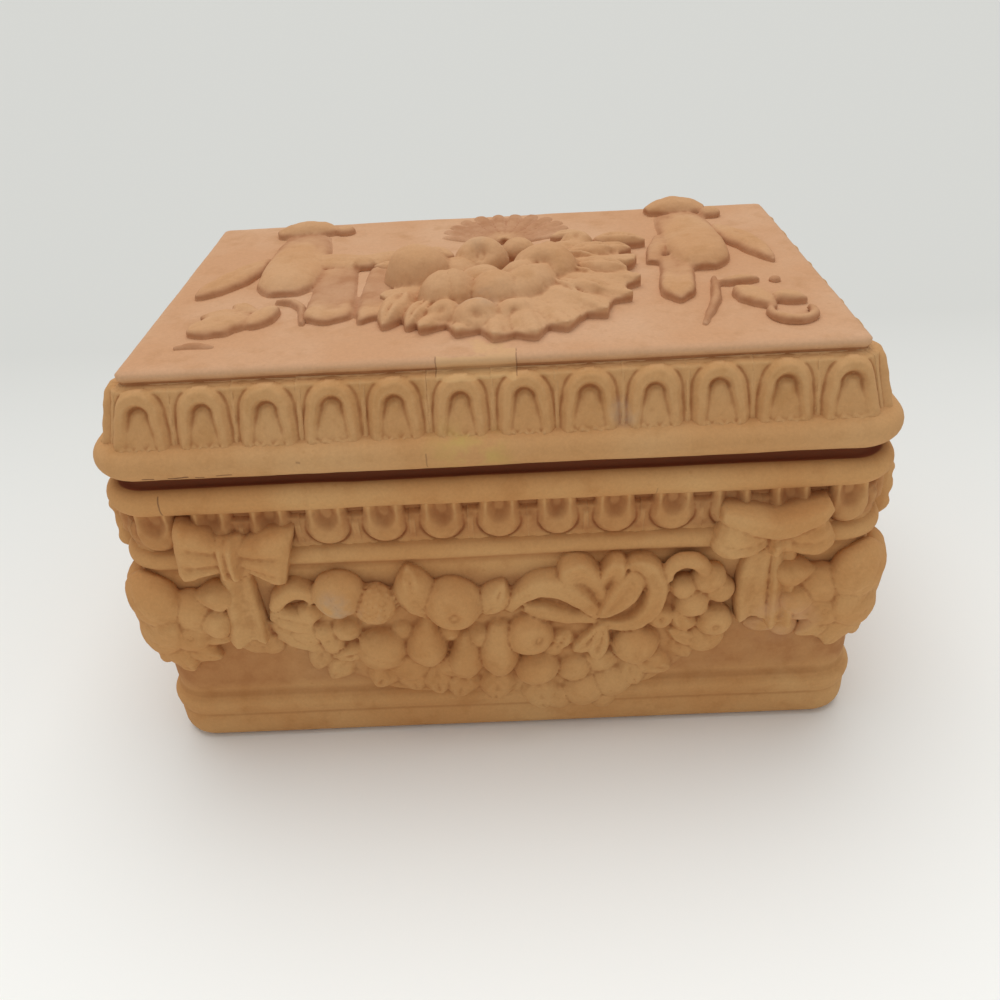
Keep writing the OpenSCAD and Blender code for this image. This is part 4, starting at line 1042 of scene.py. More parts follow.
# the long garland, on the front and on the back
garlandRows = [
    strip([(-76, 62, 5, 1.2), (-66, 55, 13, 1.9), (-54, 50, 19, 2.1), (-40, 46, 24, 2.1),
           (-20, 43, 26, 2.2), (0, 41, 28, 2.2), (18, 40, 29, 2.2), (34, 42, 28, 2.1), (50, 49, 25, 1.9),
           (64, 56, 17, 1.8), (77, 58, 11, 1.2)], count=60),
    strip([(-81, 64.5, 2.2, 3.6), (-77.5, 70.5, 3.6, 6.0), (-72.5, 74.0, 4.2, 6.6),
           (-67.5, 72.0, 3.4, 5.6), (-66.5, 67.5, 2.2, 4.2)], crown=2.6, dish=0.08),
    strip([(-83, 62.0, 2.6, 3.0), (-78.5, 61.0, 4.8, 5.0), (-73, 59.5, 5.6, 5.8),
           (-68.5, 57.0, 4.4, 4.8)], crown=3.0, creases=((0.2, 0.2, 0.9),)),
    strip([(-82, 53.0, 3.0, 2.0), (-77, 51.0, 5.0, 3.0), (-71, 48.0, 4.6, 3.0), (-66, 43.0, 2.4, 2.0)],
          crown=3.0),
    lay("fruit", -68.6, 63.0, r=4.4, seed=3, tall=1.1),
    lay("fruit", -70.5, 53.5, r=6.4, seed=4, tall=0.55),
    lay("fruit", -64.4, 53.6, r=4.4, seed=8, tall=1.0),
    lay("fruit", -56.5, 54.6, r=5.2, seed=6, tall=0.95),
    lay("petal", -65.0, 56.5, -75, long=11, wide=8, thick=5.6, dish=0.2),
    lay("nut", -62.2, 48.6, 250, r=4.4, long=7.0, seed=5),
    lay("fruit", -57.0, 71.2, r=9.2, seed=1, tall=0.98, crease=(1, 0.5, 0)),
    lay("leaf", -49.0, 46.5, 200, long=15, wide=8.5, rise=5.0, veins=3),
    lay("fruit", -44.8, 45.4, r=9.4, seed=7, tall=0.86, crease=(0.4, 1, 0.1)),
    lay("leaf", -29.6, 60.5, 97, long=21.5, wide=15.5, rise=5.6, veins=2, fold=0.35, curl=1.2),
    lay("leaf", -35.5, 70.0, -48, long=15, wide=9, rise=5.2, veins=2, fold=0.3),
    lay("fruit", -17.7, 64.8, r=10.3, seed=9, tall=0.95, navel=(0.05, -0.12, 1)),
    lay("nut", -28.6, 45.5, 86, r=7.8, long=15.5, seed=3, tilt=0.25),
    lay("fruit", -36.0, 36.5, r=8.6, seed=10, tall=0.55),
    lay("leaf", -42.0, 39.0, -118, long=16, wide=13, rise=3.8, veins=2, notch=0.06),
    lay("leaf", -36.0, 36.0, -82, long=14, wide=13, rise=3.6, veins=2, notch=0.06),
    lay("leaf", -26.5, 37.0, -88, long=17, wide=13, rise=4.0, veins=2, notch=0.06),
    lay("pear", -15.5, 36.5, 84, r=7.0, long=15.5, seed=4, neck=0.7),
    lay("nut", -21.5, 36.5, -74, r=5.2, long=9.5, seed=12),
    lay("leaf", -15.5, 33.5, -104, long=16, wide=14, rise=4.0, veins=2, notch=0.06),
    lay("pear", -2.8, 38.0, 88, r=7.6, long=18.5, seed=2, neck=0.74),
    lay("leaf", -7.0, 59.0, 62, long=16, wide=12, rise=5.2, veins=2, curl=0.8, fold=0.35),
    lay("leaf", -3.4, 33.5, -96, long=18.5, wide=14, rise=4.0, veins=3, notch=0.06),
    lay("fruit", 8.5, 49.6, r=8.7, seed=11, tall=1.0, navel=(0.45, 0.1, 0.9)),
    lay("fruit", 10.6, 33.4, r=8.0, seed=13, tall=0.98),
    lay("leaf", 10.5, 27.5, -82, long=18, wide=15, rise=3.8, veins=3, notch=0.06),
    strip([(33.5, 56.5, 2.6, 4.6), (27, 65, 4.6, 7.0), (20, 71, 5.4, 7.8), (12, 71.5, 5.0, 7.4),
           (5.5, 66.5, 3.6, 5.6), (1.5, 60, 1.8, 3.8)], dish=0.12, crown=3.0),
    strip([(32, 54.5, 2.4, 3.8), (22, 57, 4.0, 5.4), (13, 60, 4.4, 5.6), (7, 61.5, 2.6, 4.0)], crown=3.0),
    lay("lobe", 33.5, 58.5, 114, long=27, wide=15, thick=8.2, hollow=0.34),
    lay("lobe", 34.0, 60.0, 76, long=23.5, wide=9.5, thick=7.2, hollow=0.3),
    lay("petal", 33.5, 56.5, 58, long=24.5, wide=14.5, thick=7.6, dish=0.25, bend=-1.0),
    lay("fruit", 46.5, 73.0, r=6.0, seed=2, tall=0.8),
    strip([(33, 53.0, 1.8, 3.8), (40, 52, 3.0, 5.6), (47, 54, 3.8, 6.8), (52, 60.5, 4.2, 7.4),
           (53.5, 69, 4.2, 7.6), (51, 77, 3.8, 7.4), (46.5, 80, 3.0, 6.6), (43, 78, 1.8, 5.4)], dish=0.1),
    lay("petal", 34.5, 53.5, -132, long=17, wide=9.5, thick=6.4, dish=0.35, bend=1.5),
    lay("petal", 35.0, 53.0, -101, long=17, wide=10, thick=6.8, dish=0.35),
    lay("leaf", 22.5, 50.5, -120, long=11, wide=9, rise=4.4),
    lay("ring", 62.8, 73.6, r=6.2, start=-40, end=200, thick=3.0, height=3.6),
    lay("fruit", 71.0, 71.0, r=6.0, seed=6, tall=0.95),
    lay("fruit", 75.0, 65.5, r=5.6, seed=16, tall=0.9),
    lay("fruit", 62.4, 67.6, r=4.9, seed=12, tall=1.1),
    lay("fruit", 54.8, 54.6, r=5.2, seed=8, tall=1.0, navel=(0.1, 0.1, 1)),
    lay("fruit", 65.6, 60.8, r=6.2, seed=5, tall=1.0),
    lay("petal", 59.5, 58.0, -60, long=10, wide=8, thick=6.0, dish=0.15),
    lay("fruit", 63.5, 52.0, r=4.8, seed=15, tall=0.9),
    lay("fruit", 74.0, 52.0, r=6.6, seed=17, tall=0.95, navel=(0, -0.1, 1)),
    lay("fruit", 71.5, 43.6, r=7.0, seed=19, tall=0.6),
    lay("petal", 58.0, 48.5, -35, long=13, wide=9, thick=4.6, dish=0.2),
    lay("fruit", 46.2, 42.4, r=8.4, seed=21, tall=0.95, crease=(1, -0.5, 0)),
    lay("leaf", 45.5, 37.0, -32, long=17, wide=13, rise=4.0, veins=2, notch=0.1),
    lay("leaf", 43.5, 34.5, -72, long=14, wide=11, rise=3.8, veins=2, notch=0.1),
    lay("fruit", 38.7, 23.5, r=7.4, seed=25, tall=0.6),
    lay("fruit", 27.6, 19.4, r=8.0, seed=27, tall=0.6),
    lay("fruit", 24.2, 31.0, r=6.4, seed=31, tall=0.7),
    lay("fruit", 35.0, 14.5, r=5.4, seed=33, tall=0.55),
    lay("fruit", 18.5, 16.2, r=6.4, seed=29, tall=0.55),
    lay("fruit", 34.0, 34.5, r=6.6, seed=35, tall=0.5),
    lay("fruit", 16.5, 42.0, r=4.6, seed=37, tall=0.8),
    lay("fruit", -9.5, 49.0, r=5.2, seed=39, tall=0.9),
    lay("fruit", -36.5, 52.0, r=5.0, seed=41, tall=0.7),
    lay("fruit", -20.5, 51.5, r=4.8, seed=43, tall=0.8),
    lay("leaf", -57.0, 41.0, -128, long=15, wide=11, rise=2.6, veins=2, base=0.6),
    lay("leaf", -66.0, 46.0, -112, long=13, wide=10, rise=2.2, veins=2, base=0.6),
    lay("leaf", 60.0, 44.0, -60, long=13, wide=10, rise=2.4, veins=2, base=0.6),
]
# bows, as seen from the front: x and height from the knot
leftBowRows = [
    strip([(-2.5, -1.0, 6.2, 6.0), (-6.5, -0.4, 7.8, 8.0), (-11, 0.8, 10.2, 9.2), (-15.6, 1.4, 11.6, 8.8),
           (-17.8, 1.6, 11.2, 5.6)], crown=7.0, creases=((0.35, 0.15, 1.4), (-0.35, 0.16, 1.2))),
    strip([(2.5, -1.4, 5.8, 6.0), (8, -1.6, 7.8, 8.0), (13, -1.8, 10.4, 9.2), (17.2, -2.4, 12.0, 8.8),
           (19.4, -3.0, 12.2, 6.4)], crown=5.0, creases=((0.15, 0.16, 1.5), (-0.5, 0.14, 1.2))),
    strip([(0, 6.4, 5.0, 3.4), (0, 4, 4.8, 8.0), (0, -3, 4.6, 9.0), (0, -8.2, 5.0, 7.6),
           (0, -10.6, 5.0, 3.6)], pleats=2.5, pleatDepth=1.5, crown=3.0),
    strip([(-1.2, -8, 5.4, 3.4), (-1.2, -18, 6.4, 4.6), (-1.2, -28, 7.2, 5.6), (-1.4, -38.2, 7.9, 6.8)],
          pleats=1.5, pleatDepth=1.2, endWave=1.0, crown=5.0),
    lay("leaf", -7.0, -40.0, -22, long=15, wide=10, rise=2.2, veins=2, base=0.5),
    lay("fruit", 5.0, -43.0, r=5.4, seed=3, tall=0.36),
    lay("leaf", 7.0, -32.0, -38, long=13, wide=9, rise=2.6, veins=2, base=0.5),
]
rightBowRows = [
    strip([(-2.5, -1.4, 6.4, 6.0), (-8, -1.4, 9.2, 8.0), (-13, -0.6, 10.8, 8.8), (-16.6, 0.4, 9.4, 7.6),
           (-18.2, 1.0, 7.0, 4.8)], crown=6.0, creases=((0.35, 0.14, 0.8), (-0.3, 0.2, 0.5))),
    strip([(2.5, -1.4, 6.4, 6.0), (8.5, -1.0, 9.0, 8.0), (13.5, -0.2, 10.6, 8.8), (16.8, 0.6, 9.0, 7.6),
           (18.4, 1.4, 6.4, 4.8)], crown=6.0, creases=((-0.3, 0.14, 0.9), (0.3, 0.12, 0.6))),
    strip([(-17.6, 7.2, 3.0, 6.8), (-14, 6.6, 4.0, 8.8), (-7, 4.6, 5.0, 9.6), (-1, 2.4, 5.4, 9.8),
           (5, 3.2, 5.2, 9.8), (11, 6.0, 4.4, 9.8), (15.5, 8.2, 3.4, 8.8), (18, 9.4, 2.4, 6.4)],
          crown=3.0),
    strip([(1.5, 1, 4.0, 6.0), (2, -4, 4.2, 8.6), (2.2, -8.4, 4.6, 6.6)], pleats=1.5, pleatDepth=1.2,
          crown=4.0),
    strip([(-3, -9, 4.6, 3.4), (-4.6, -19, 5.4, 4.6), (-4.6, -29, 5.8, 5.4), (-3.6, -37.5, 5.8, 5.8)],
          pleats=1, pleatDepth=-1.1, endWave=-1.0, crown=4.0),
    strip([(4.8, -8, 4.8, 3.4), (5.4, -19, 5.4, 4.6), (5.6, -29, 5.8, 5.6), (5.6, -40.0, 6.2, 6.6)],
          pleats=2, pleatDepth=1.0, endWave=1.0, crown=6.0),
    lay("leaf", -6.0, -41.5, -14, long=14, wide=8, rise=2.0, veins=2, base=0.5),
    lay("fruit", 9.0, -44.0, r=5.4, seed=4, tall=0.4),
]
# corner clusters: way round the corner from its diagonal, and height
clusterRows = [
    lay("fruit", -16, 63, r=12.5, seed=21, tall=0.34),
    lay("fruit", 0, 60, r=14.5, seed=22, tall=0.36),
    lay("fruit", 16, 62, r=12.5, seed=23, tall=0.34),
    lay("fruit", 10, 49, r=9.5, seed=24, tall=0.3),
    lay("fruit", -10, 49, r=9.5, seed=25, tall=0.3),
    lay("fruit", 4.0, 70.6, r=11.4, seed=1, tall=0.70, crease=(1, 0.8, 0), lumps=0.05),
    lay("fruit", -9.0, 68.0, r=9.8, seed=9, tall=0.62, lumps=0.05),
    lay("fruit", 15.5, 66.0, r=8.4, seed=7, tall=0.68, lumps=0.05),
    lay("nut", 27.0, 72.6, 184, r=6.2, long=9.6, seed=3, tilt=0.7),
    lay("nut", 24.5, 61.0, 176, r=6.4, long=9.6, seed=4, tilt=0.7),
    lay("fruit", 1.5, 54.6, r=10.0, seed=2, tall=0.66, crease=(0.3, 1, 0), lumps=0.05),
    lay("fruit", 13.0, 54.6, r=7.4, seed=5, tall=0.68, navel=(0.1, 0.1, 1)),
    lay("fruit", -10.0, 56.0, r=7.8, seed=8, tall=0.66),
    lay("leaf", 15.0, 56.0, -16, long=14, wide=10, rise=3.6, veins=2, fold=0.4),
    lay("leaf", 10.0, 50.0, -30, long=14, wide=10, rise=3.2, veins=2, fold=0.4),
    lay("fruit", 6.0, 45.6, r=7.0, seed=12, tall=0.5),
    lay("leaf", -3.0, 48.5, -82, long=12, wide=13, rise=3.4, veins=2),
    lay("leaf", 6.0, 47.0, -62, long=11, wide=11, rise=3.0, veins=2),
    lay("nut", -25.0, 72.5, r=5.8, long=8.6, seed=6, tilt=0.7),
    lay("nut", -21.5, 60.5, -4, r=6.0, long=8.8, seed=7, tilt=0.7),
    lay("leaf", -12.0, 54.0, 196, long=14, wide=10, rise=3.4, veins=2),
    lay("leaf", -9.0, 49.5, -128, long=12, wide=10, rise=3.2, veins=2),
]
# the short garland, on both ends
endRows = [
    strip([(-33, 60, 4, 1.2), (-22, 52, 20, 2.0), (-8, 48, 27, 2.1), (8, 48, 27, 2.1), (22, 53, 19, 2.0),
           (33, 60, 4, 1.2)]),
    lay("nut", -28.5, 60.5, 205, r=5.8, long=9.5, seed=2),
    lay("fruit", -18.5, 68.5, r=8.8, seed=31, tall=0.95, crease=(0.6, 1, 0)),
    lay("leaf", -20.5, 50.5, 205, long=16, wide=12, rise=4.6, veins=2),
    lay("fruit", -15.5, 50.0, r=9.4, seed=33, tall=0.9, navel=(-0.1, -0.2, 1)),
    lay("leaf", -12.0, 40.5, -108, long=20, wide=15, rise=4.6, veins=3, notch=0.06),
    lay("lobe", -1.0, 58.0, 140, long=21, wide=12, thick=7.6, hollow=0.4),
    lay("lobe", 0.5, 59.0, 92, long=21, wide=11, thick=7.2, hollow=0.35),
    lay("petal", 0.5, 57.5, 48, long=22, wide=11, thick=7.8, dish=0.35, bend=-1.2),
    lay("petal", 0.5, 54.0, -60, long=15, wide=9, thick=6.0, dish=0.4),
    lay("petal", -0.5, 54.0, -118, long=15, wide=9, thick=6.0, dish=0.4),
    lay("pear", 1.0, 28.5, 86, r=7.6, long=16, seed=5, neck=0.7),
    lay("leaf", 2.0, 30.0, -86, long=15, wide=14, rise=4.0, veins=2, notch=0.06),
    lay("fruit", 13.5, 48.0, r=8.8, seed=35, tall=0.92),
    lay("leaf", 12.5, 40.0, -70, long=20, wide=14, rise=4.4, veins=3, notch=0.06),
    lay("fruit", 20.5, 68.0, r=8.0, seed=37, tall=0.95, navel=(0.1, 0.2, 1)),
    lay("nut", 23.5, 50.5, -40, r=6.2, long=10.5, seed=9),
    lay("fruit", 29.4, 63.5, r=5.2, seed=39, tall=0.9),
]
# the lid's relief: x across the lid, y towards the back
pileRows = [
    lay("skirt", 4, -15, edge=[(24, 40, 0.4), (33, 39, 0.9), (38, 33, 0.3), (46, 31, 0.8), (45, 23, 0),
                               (51, 18, 0.6), (49, 12, 0.9), (43, 8, 0.1), (46, 2, 0.5), (50, -5, 1),
                               (44, -9, 0.2), (43, -14, 0.5), (45, -20, 0.9), (38, -22, 0),
                               (36, -28, 0.6), (35, -34, 1), (28, -33, 0.2), (25, -38, 0.6), (21, -44, 1),
                               (15, -41, 0.1), (11, -49, 0.8), (4, -46, 0.2)], inner=18, rise=5.6,
        fold=1.9, low=0.8, steps=300),
    lay("skirt", 3, -15, edge=[(5, -46, 0), (-2, -49, 1), (-6, -41, 0), (-14, -44, 1), (-17, -36, 0),
                               (-26, -40, 1), (-27, -29, 0), (-35, -27, 1), (-34, -18, 0), (-42, -10, 1),
                               (-36, 0, 0)], inner=15, rise=5.0, fold=1.7, low=0.9, steps=170),
    lay("fruit", -25.5, -8.0, r=13.2, seed=41, tall=0.86, lumps=0.06),
    lay("fruit", -3.0, 1.5, r=10.8, seed=43, tall=0.96, navel=(0.0, -0.7, 0.8)),
    lay("fruit", -14.0, -29.5, r=11.0, seed=45, tall=0.92, crease=(1, 0.2, 0)),
    lay("fruit", 2.5, -32.0, r=10.4, seed=47, tall=0.92),
    lay("fruit", -3.0, -16.5, r=9.0, seed=46, tall=0.8),
    lay("fruit", -12.0, -8.0, r=9.0, seed=48, tall=0.8),
    lay("pear", 9.0, -33.0, 52, r=8.8, long=24, seed=5, neck=0.85),
    lay("fruit", 20.0, -11.0, r=12.2, seed=6, tall=0.9, navel=(-0.1, -0.75, 0.7), lumps=0.05),
    lay("fruit", 12.0, -17.5, r=9.0, seed=8, tall=0.95),
    strip([(26, 4, 1.2, 6.6), (35, 1, 1.5, 6.8), (44, -4, 1.1, 4.6)], crown=2.0),
    strip([(27, -12, 1.2, 6.2), (35, -16, 1.5, 6.4), (41, -22, 1.1, 4.4)], crown=2.0),
    strip([(22, -24, 1.2, 6.2), (28, -31, 1.5, 6.4), (31, -38, 1.1, 4.4)], crown=2.0),
    lay("leaf", 30.0, -8.0, -8, long=20, wide=13, rise=4.4, base=3.0, veins=2, notch=0.15),
    lay("leaf", 29.0, 6.0, 14, long=19, wide=12, rise=4.2, base=3.0, veins=2, notch=0.15),
    lay("leaf", 24.0, -22.0, -32, long=20, wide=13, rise=4.2, base=3.0, veins=2, notch=0.15),
    lay("fruit", 11.0, 17.0, r=7.0, seed=49, tall=0.85),
    lay("fruit", 22.5, 16.0, r=6.0, seed=51, tall=0.75),
    lay("fruit", 34.0, 24.5, r=6.6, seed=53, tall=0.8, navel=(0, -0.4, 1)),
    lay("leaf", 41.0, 27.5, -18, long=21, wide=9.5, rise=4.0, veins=2, curl=1.2),
    lay("leaf", 38.0, 13.0, 8, long=17, wide=11, rise=3.8, veins=2),
    lay("leaf", 24.0, 33.0, 18, long=16, wide=7, rise=2.8, veins=2),
    lay("leaf", -14.0, 15.0, 150, long=18, wide=10, rise=3.6, veins=2),
    lay("leaf", -31.5, 6.5, 168, long=14, wide=8, rise=2.8, veins=2),
    lay("fruit", -15.0, -44.0, r=6.4, seed=55, tall=0.9, navel=(-0.2, -0.7, 1)),
    lay("fruit", -4.5, -48.0, r=8.2, seed=57, tall=0.86, navel=(0.1, -0.9, 0.8)),
    lay("fruit", 8.0, -46.5, r=7.0, seed=59, tall=0.85, navel=(0.1, -0.9, 0.8)),
    lay("leaf", -29.0, -24.0, -104, long=27, wide=12, rise=5.4, veins=2),
    lay("leaf", -21.0, -34.0, -110, long=19, wide=9, rise=5.0, veins=2),
]
leftRibbonRows = [
    strip([(-91, 57, 3.6, 2.6), (-86, 58.5, 6.8, 4.6), (-78.5, 60, 7.8, 5.6), (-71, 60, 6.6, 4.8),
           (-66, 59, 3.6, 3.0)], crown=2.0, creases=((0.2, 0.2, 0.4),)),
    lay("fruit", -62.0, 58.5, r=4.4, seed=61, tall=0.6),
    lay("fruit", -48.6, 15.0, r=6.4, seed=62, tall=0.5),
    strip([(-77, 53, 9.6, 1.6), (-76.5, 38, 11.8, 2.8), (-76, 20, 12.6, 4.4), (-75.7, 4, 12.6, 5.6),
           (-75.6, -6, 11.6, 5.8), (-75.6, -11.5, 9.0, 4.2), (-75.6, -14, 6.0, 2.2)], crown=2.6, count=60,
          creases=((0.5, 0.18, 0.5),)),
    strip([(-67, 18, 8.6, 3.2), (-58, 16, 8.4, 4.0), (-50.5, 13, 7.6, 4.2)], crown=3.2,
          creases=((0.3, 0.16, 0.7), (-0.3, 0.16, 0.6))),
    strip([(-46.5, 13, 7.2, 4.2), (-41, 17, 7.0, 4.2), (-35, 20, 5.4, 3.4)], crown=3.2,
          creases=((0.1, 0.16, 0.7),)),
    strip([(-57.5, 8, 7.2, 2.4), (-57, -8, 8.2, 2.0), (-56.4, -22, 8.8, 2.0), (-56, -32, 9.2, 2.8),
           (-56, -38, 9.2, 3.6), (-56, -41, 8.4, 2.4)], pleats=1, pleatDepth=-0.3, endWave=1.8, crown=4.0,
          creases=((0.4, 0.2, 0.4),)),
    strip([(-41, 8, 5.4, 2.4), (-40.5, -10, 6.4, 2.0), (-39.6, -24, 7.0, 2.0), (-39, -34, 7.4, 2.8),
           (-38.5, -39.5, 7.4, 3.6), (-38.5, -42.5, 6.6, 2.4)], pleats=1, pleatDepth=-0.3, endWave=-1.8,
          crown=4.0),
]
rightRibbonRows = [
    strip([(66.5, 63, 3.6, 3.0), (72, 64.5, 6.8, 5.4), (79, 65, 7.8, 6.8), (86, 64.5, 6.8, 5.4),
           (91.5, 63, 3.4, 3.0)], crown=2.0, creases=((-0.1, 0.2, 0.5),)),
    lay("fruit", 93.0, 57.0, r=4.4, seed=63, tall=0.75),
    strip([(79, 57, 10.2, 2.0), (79.5, 44, 11.8, 3.2), (79.5, 26, 12.2, 4.8), (79, 10, 12.2, 6.6),
           (78.6, 0, 11.0, 6.8), (78.4, -5.5, 7.8, 5.2), (78.4, -8, 5.0, 2.8)], crown=2.6, count=60,
          creases=((-0.45, 0.18, 0.5),)),
    strip([(69.5, 4, 6.2, 2.4), (68.2, -10, 6.4, 2.4), (66.2, -22, 6.4, 3.0), (65, -32, 6.2, 4.0),
           (64.8, -36, 4.8, 2.6)], pleats=1, pleatDepth=-0.4, endWave=2.4, crown=4.0),
    strip([(68, 30, 3.0, 2.0), (64, 14, 4.0, 2.8), (61, 0, 3.0, 2.4)]),
]
leftSprayRows = [
    lay("leaf", -108.0, -14.0, 63, long=45, wide=13, rise=2.6, veins=4, bend=-1.5, notch=0.12),
    lay("leaf", -102.5, -47.5, 32, long=25, wide=15, rise=2.6, veins=3, notch=0.3),
    lay("leaf", -101.0, -34.0, 8, long=20, wide=9, rise=2.0, veins=2, notch=0.2),
    lay("leaf", -81.5, -43.5, 68, long=19, wide=9, rise=2.6, veins=2),
    lay("leaf", -91.0, -24.0, -40, long=15, wide=7, rise=2.6, veins=2),
    strip([(-77, -20, 1.3, 1.8), (-70, -22, 1.9, 2.5), (-66, -28, 1.9, 2.4), (-64, -42, 1.1, 1.5)],
          crown=2.2),
    strip([(-104, -56, 1.3, 1.2), (-98, -55, 1.9, 1.6), (-93, -56, 1.6, 1.4), (-90, -56.5, 1.0, 0.8)],
          crown=2.2),
]
rightSprayRows = [
    lay("leaf", 90.0, 40.0, -71, long=46, wide=12.0, rise=2.6, veins=4, notch=0.2, bend=1.5),
    strip([(80, -17, 1.2, 1.6), (78.8, -26, 1.9, 2.4), (77, -37, 2.0, 2.4), (72, -50, 1.6, 1.9),
           (69, -58, 1.0, 1.3)], crown=2.2),
    lay("leaf", 84.5, -29.0, -62, long=21, wide=10.5, rise=2.4, veins=2, notch=0.2),
    lay("leaf", 80.5, -23.5, 6, long=15, wide=5, rise=2.2, veins=2),
    lay("ring", 98.5, -52.0, r=7.6, start=150, end=385, thick=2.1, height=0.9, stretch=0.9),
    lay("leaf", 95.0, -39.0, -22, long=12, wide=7, rise=2.8, veins=2),
    lay("fruit", 100.5, -22.0, r=2.4, seed=65, tall=0.7),
]


def placed(rows, ground):
    return [setOn(sprig(*row), ground) for row in rows]


def cornerForms(sx, sy):
    hand = sx * sy
    forms = []
    for kind, along, up, turn, shape in clusterRows:
        form = moved(sprig(kind, 0, 0, turn, shape), scale=(hand, 1, 1))
        forms.append(setOn(form, cornerGround(sx, sy, hand * along, up)))
    return forms


# the shell behind the fruit: one ray set out along an arc
fanSizes = {"x": 5.6, "y": 30.0, "rays": 12, "from": 28.0, "to": 148.0, "long": 42.0, "wide": 7.0,
            "rise": 1.7, "sideShrink": 0.28}


def makeFanTree():
    tree, given = newTree("fanRays", Object=["Ray"], Int=["Rays", "Seed"],
                          Float=["First turn", "Last turn", "Side shrink", "Size spread"])
    points = addNode(tree, "GeometryNodeMeshLine", {"Count": given["Rays"], "Offset": (0, 0, 0)},
                     mode="OFFSET", count_mode="TOTAL")
    index = addNode(tree, "GeometryNodeInputIndex").outputs[0]
    share = calc(tree, "DIVIDE", index, minus(tree, given["Rays"], 1.0))
    turn = plus(tree, given["First turn"],
                times(tree, share, minus(tree, given["Last turn"], given["First turn"])))
    size = around1(tree, given["Size spread"], given["Seed"], {"ID": index})
    aside = calc(tree, "POWER", calc(tree, "ABSOLUTE", minus(tree, times(tree, share, 2.0), 1.0)), 1.6)
    size = times(tree, size, minus(tree, 1.0, times(tree, aside, given["Side shrink"])))
    ray = addNode(tree, "GeometryNodeObjectInfo", {"Object": given["Ray"]}, transform_space="ORIGINAL")
    fan = addNode(tree, "GeometryNodeInstanceOnPoints", {
        "Points": points.outputs[0], "Instance": ray.outputs["Geometry"],
        "Rotation": vectorOf(tree, Z=turn), "Scale": size})
    return endTree(tree, given, fan.outputs[0])


def fanForm(f):
    line = [(3, 0, 1.2, 3.2), (f["long"] * 0.5, 0, f["wide"] * 0.3, f["rise"] * 0.85),
            (f["long"] * 0.9, 0, f["wide"] * 0.5, f["rise"]),
            (f["long"], 0, f["wide"] * 0.4, f["rise"] * 0.7)]
    blade = meshObject("fanRay", strap(line, count=20, across=13, crown=2.2))
    fan = meshObject("fanRays")
    addTree(fan, makeFanTree(), {"Ray": blade, "Rays": f["rays"], "First turn": math.radians(f["from"]),
                                 "Last turn": math.radians(f["to"]), "Side shrink": f["sideShrink"],
                                 "Size spread": 0.03, "Seed": 3, "Material": lidClay})
    form = takeForm(settle(fan))
    bpy.data.objects.remove(blade)
    return moved(form, (f["x"], f["y"], 0))


def fuse(name, forms, material, voxel, seed, smooth=3):
    # presses the forms into one lump of clay
    verts, faces, base = [], [], 0
    for v, f in forms:
        verts.append(v)
        faces += [tuple(i + base for i in face) for face in f]
        base += len(v)
    lump = meshObject(name, (np.concatenate(verts), faces))
    remesh = lump.modifiers.new("press", "REMESH")
    remesh.mode, remesh.voxel_size, remesh.use_smooth_shade = "VOXEL", voxel * mm, True
    soften = lump.modifiers.new("soften", "SMOOTH")
    soften.factor, soften.iterations = 0.5, smooth
    wear(lump, material, 0.5, 6, 0.09, 1.9, seed)
    settle(lump)
    print(name, len(lump.data.polygons), "faces")
    return lump


# pieces of relief, each laid on the clay by itself
reliefVoxel = {"front": 0.62, "lid": 0.66, "sides": 0.85}
knots = {"fromCorner": (41.5, 37), "height": 90.8}
# each wall with the names of its own left and right ends
walls = [("front", "left", "right"), ("right", "front", "back"), ("back", "right", "left"),
         ("left", "back", "front")]
for side, (name, *ends) in enumerate(walls):
    ground, long = wallGround(side, 0, 0), side % 2 == 0
    voxel = reliefVoxel["front" if side == 0 else "sides"]
    forms = placed(garlandRows if long else endRows, ground)
    if long:
        berry = moved(berryA, (-44.8, 66.4, 0))
    else:
        berry = moved(berryB, (0.4, 55.5, 1.5), scale=(0.8, 0.8, 0.9))
    garland = fuse(name + "Garland", forms + [setOn(berry, ground)], bodyClay, voxel, side + 1)
    finishPiece(garland, "box", "body_clay", name + "_garland")
    knot = box["halfWidth"] - knots["fromCorner"][0] if long else box["halfDepth"] - knots["fromCorner"][1]
    for end, label, rows in zip((-1, 1), ends, (leftBowRows, rightBowRows)):
        forms = placed(rows, wallGround(side, end * knot, knots["height"]))
        bow = fuse("%s%sBow" % (name, label.title()), forms, bodyClay, voxel, side + 3 * end + 5)
        finishPiece(bow, "box", "body_clay", "%s_%s_bow" % (name, label))
for sx, across in ((-1, "left"), (1, "right")):
    for sy, depth in ((-1, "front"), (1, "back")):
        voxel = reliefVoxel["front" if sy < 0 else "sides"]
        cluster = fuse("%s%sCluster" % (depth, across.title()), cornerForms(sx, sy), bodyClay, voxel,
                       sx + 3 * sy + 6)
        finishPiece(cluster, "box", "corner_clay", "%s_%s_cluster" % (depth, across))
top = Matrix.Translation((0, 0, box["lidTop"]))
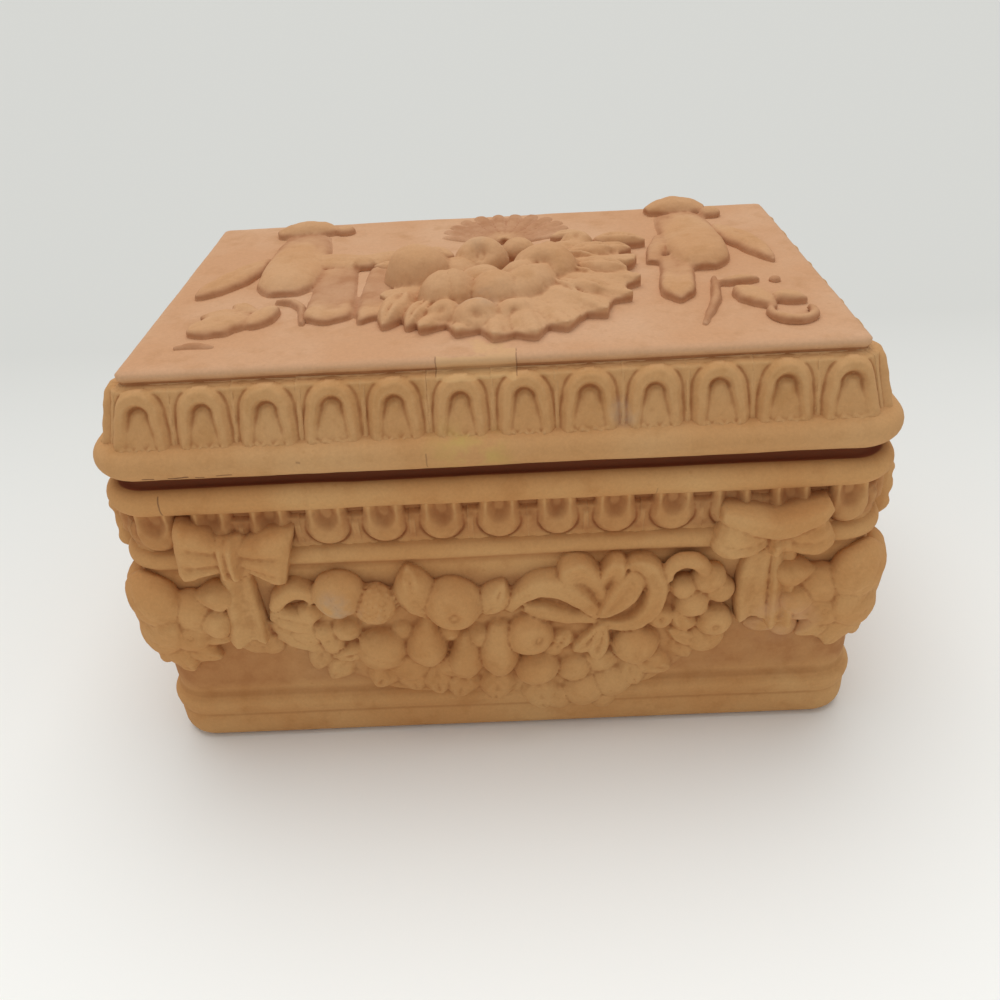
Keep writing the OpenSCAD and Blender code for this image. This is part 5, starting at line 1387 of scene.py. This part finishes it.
for name, node, forms, seed, soft in (
        ("fruitPile", "lid_fruit_pile", placed(pileRows, top), 21, 4),
        ("lidLeftRibbon", "lid_left_ribbon", placed(leftRibbonRows, top), 22, 14),
        ("lidRightRibbon", "lid_right_ribbon", placed(rightRibbonRows, top), 23, 14),
        ("lidLeftSpray", "lid_left_spray", placed(leftSprayRows, top), 24, 12),
        ("lidRightSpray", "lid_right_spray", placed(rightSprayRows, top), 25, 12),
        ("lidFan", "lid_fan", [setOn(fanForm(fanSizes), top)], 26, 6)):
    finishPiece(fuse(name, forms, lidClay, reliefVoxel["lid"], seed, soft), "lid", "lid_clay", node)
print("relief laid")

# light, floor, finish
# the floor's colour runs from painted light near the box to painted shade far off
studio = {"floorNearPaintedLight": (0.93, 0.935, 0.905, 1), "floorFarPaintedShade": (0.655, 0.66, 0.632, 1), "worldStrength": 0.56,
          "sunStrength": 1.55, "sunSize": 60, "sunWay": (0.06, -0.28, -1), "floorHalf": 15000,
          "nearLine": -0.20, "farLine": 0.30}


def makeStudio(s):
    world = bpy.data.worlds.new("studio")
    scene.world = world
    world.use_nodes = True
    background = world.node_tree.nodes["Background"]
    background.inputs[0].default_value = (1, 1, 1, 1)
    background.inputs[1].default_value = s["worldStrength"]
    data = bpy.data.lights.new("softSky", "SUN")
    data.energy, data.angle = s["sunStrength"], math.radians(s["sunSize"])
    lamp = bpy.data.objects.new("softSky", data)
    lamp.rotation_mode = "QUATERNION"
    lamp.rotation_quaternion = Vector(s["sunWay"]).to_track_quat("-Z", "Y")
    scene.collection.objects.link(lamp)
    f = s["floorHalf"]
    floor = meshObject("floor", ([(-f, -f, 0), (f, -f, 0), (f, f, 0), (-f, f, 0)], [(0, 1, 2, 3)]))
    paper = bpy.data.materials.new("paleTable")
    paper.use_nodes = True
    tree = paper.node_tree
    far = split(tree, addNode(tree, "ShaderNodeTexCoord").outputs["Object"])[1]
    shader = tree.nodes["Principled BSDF"]
    # painted light and shade on the floor: lighter in front of the box, darker towards the back
    shade = mixColour(tree, ramp(tree, far, s["nearLine"], s["farLine"]), s["floorNearPaintedLight"], s["floorFarPaintedShade"])
    tree.links.new(shade, shader.inputs["Base Color"])
    shader.inputs["Roughness"].default_value = 0.95
    shader.inputs["Specular IOR Level"].default_value = 0.05
    floor.data.materials.append(paper)


makeStudio(studio)
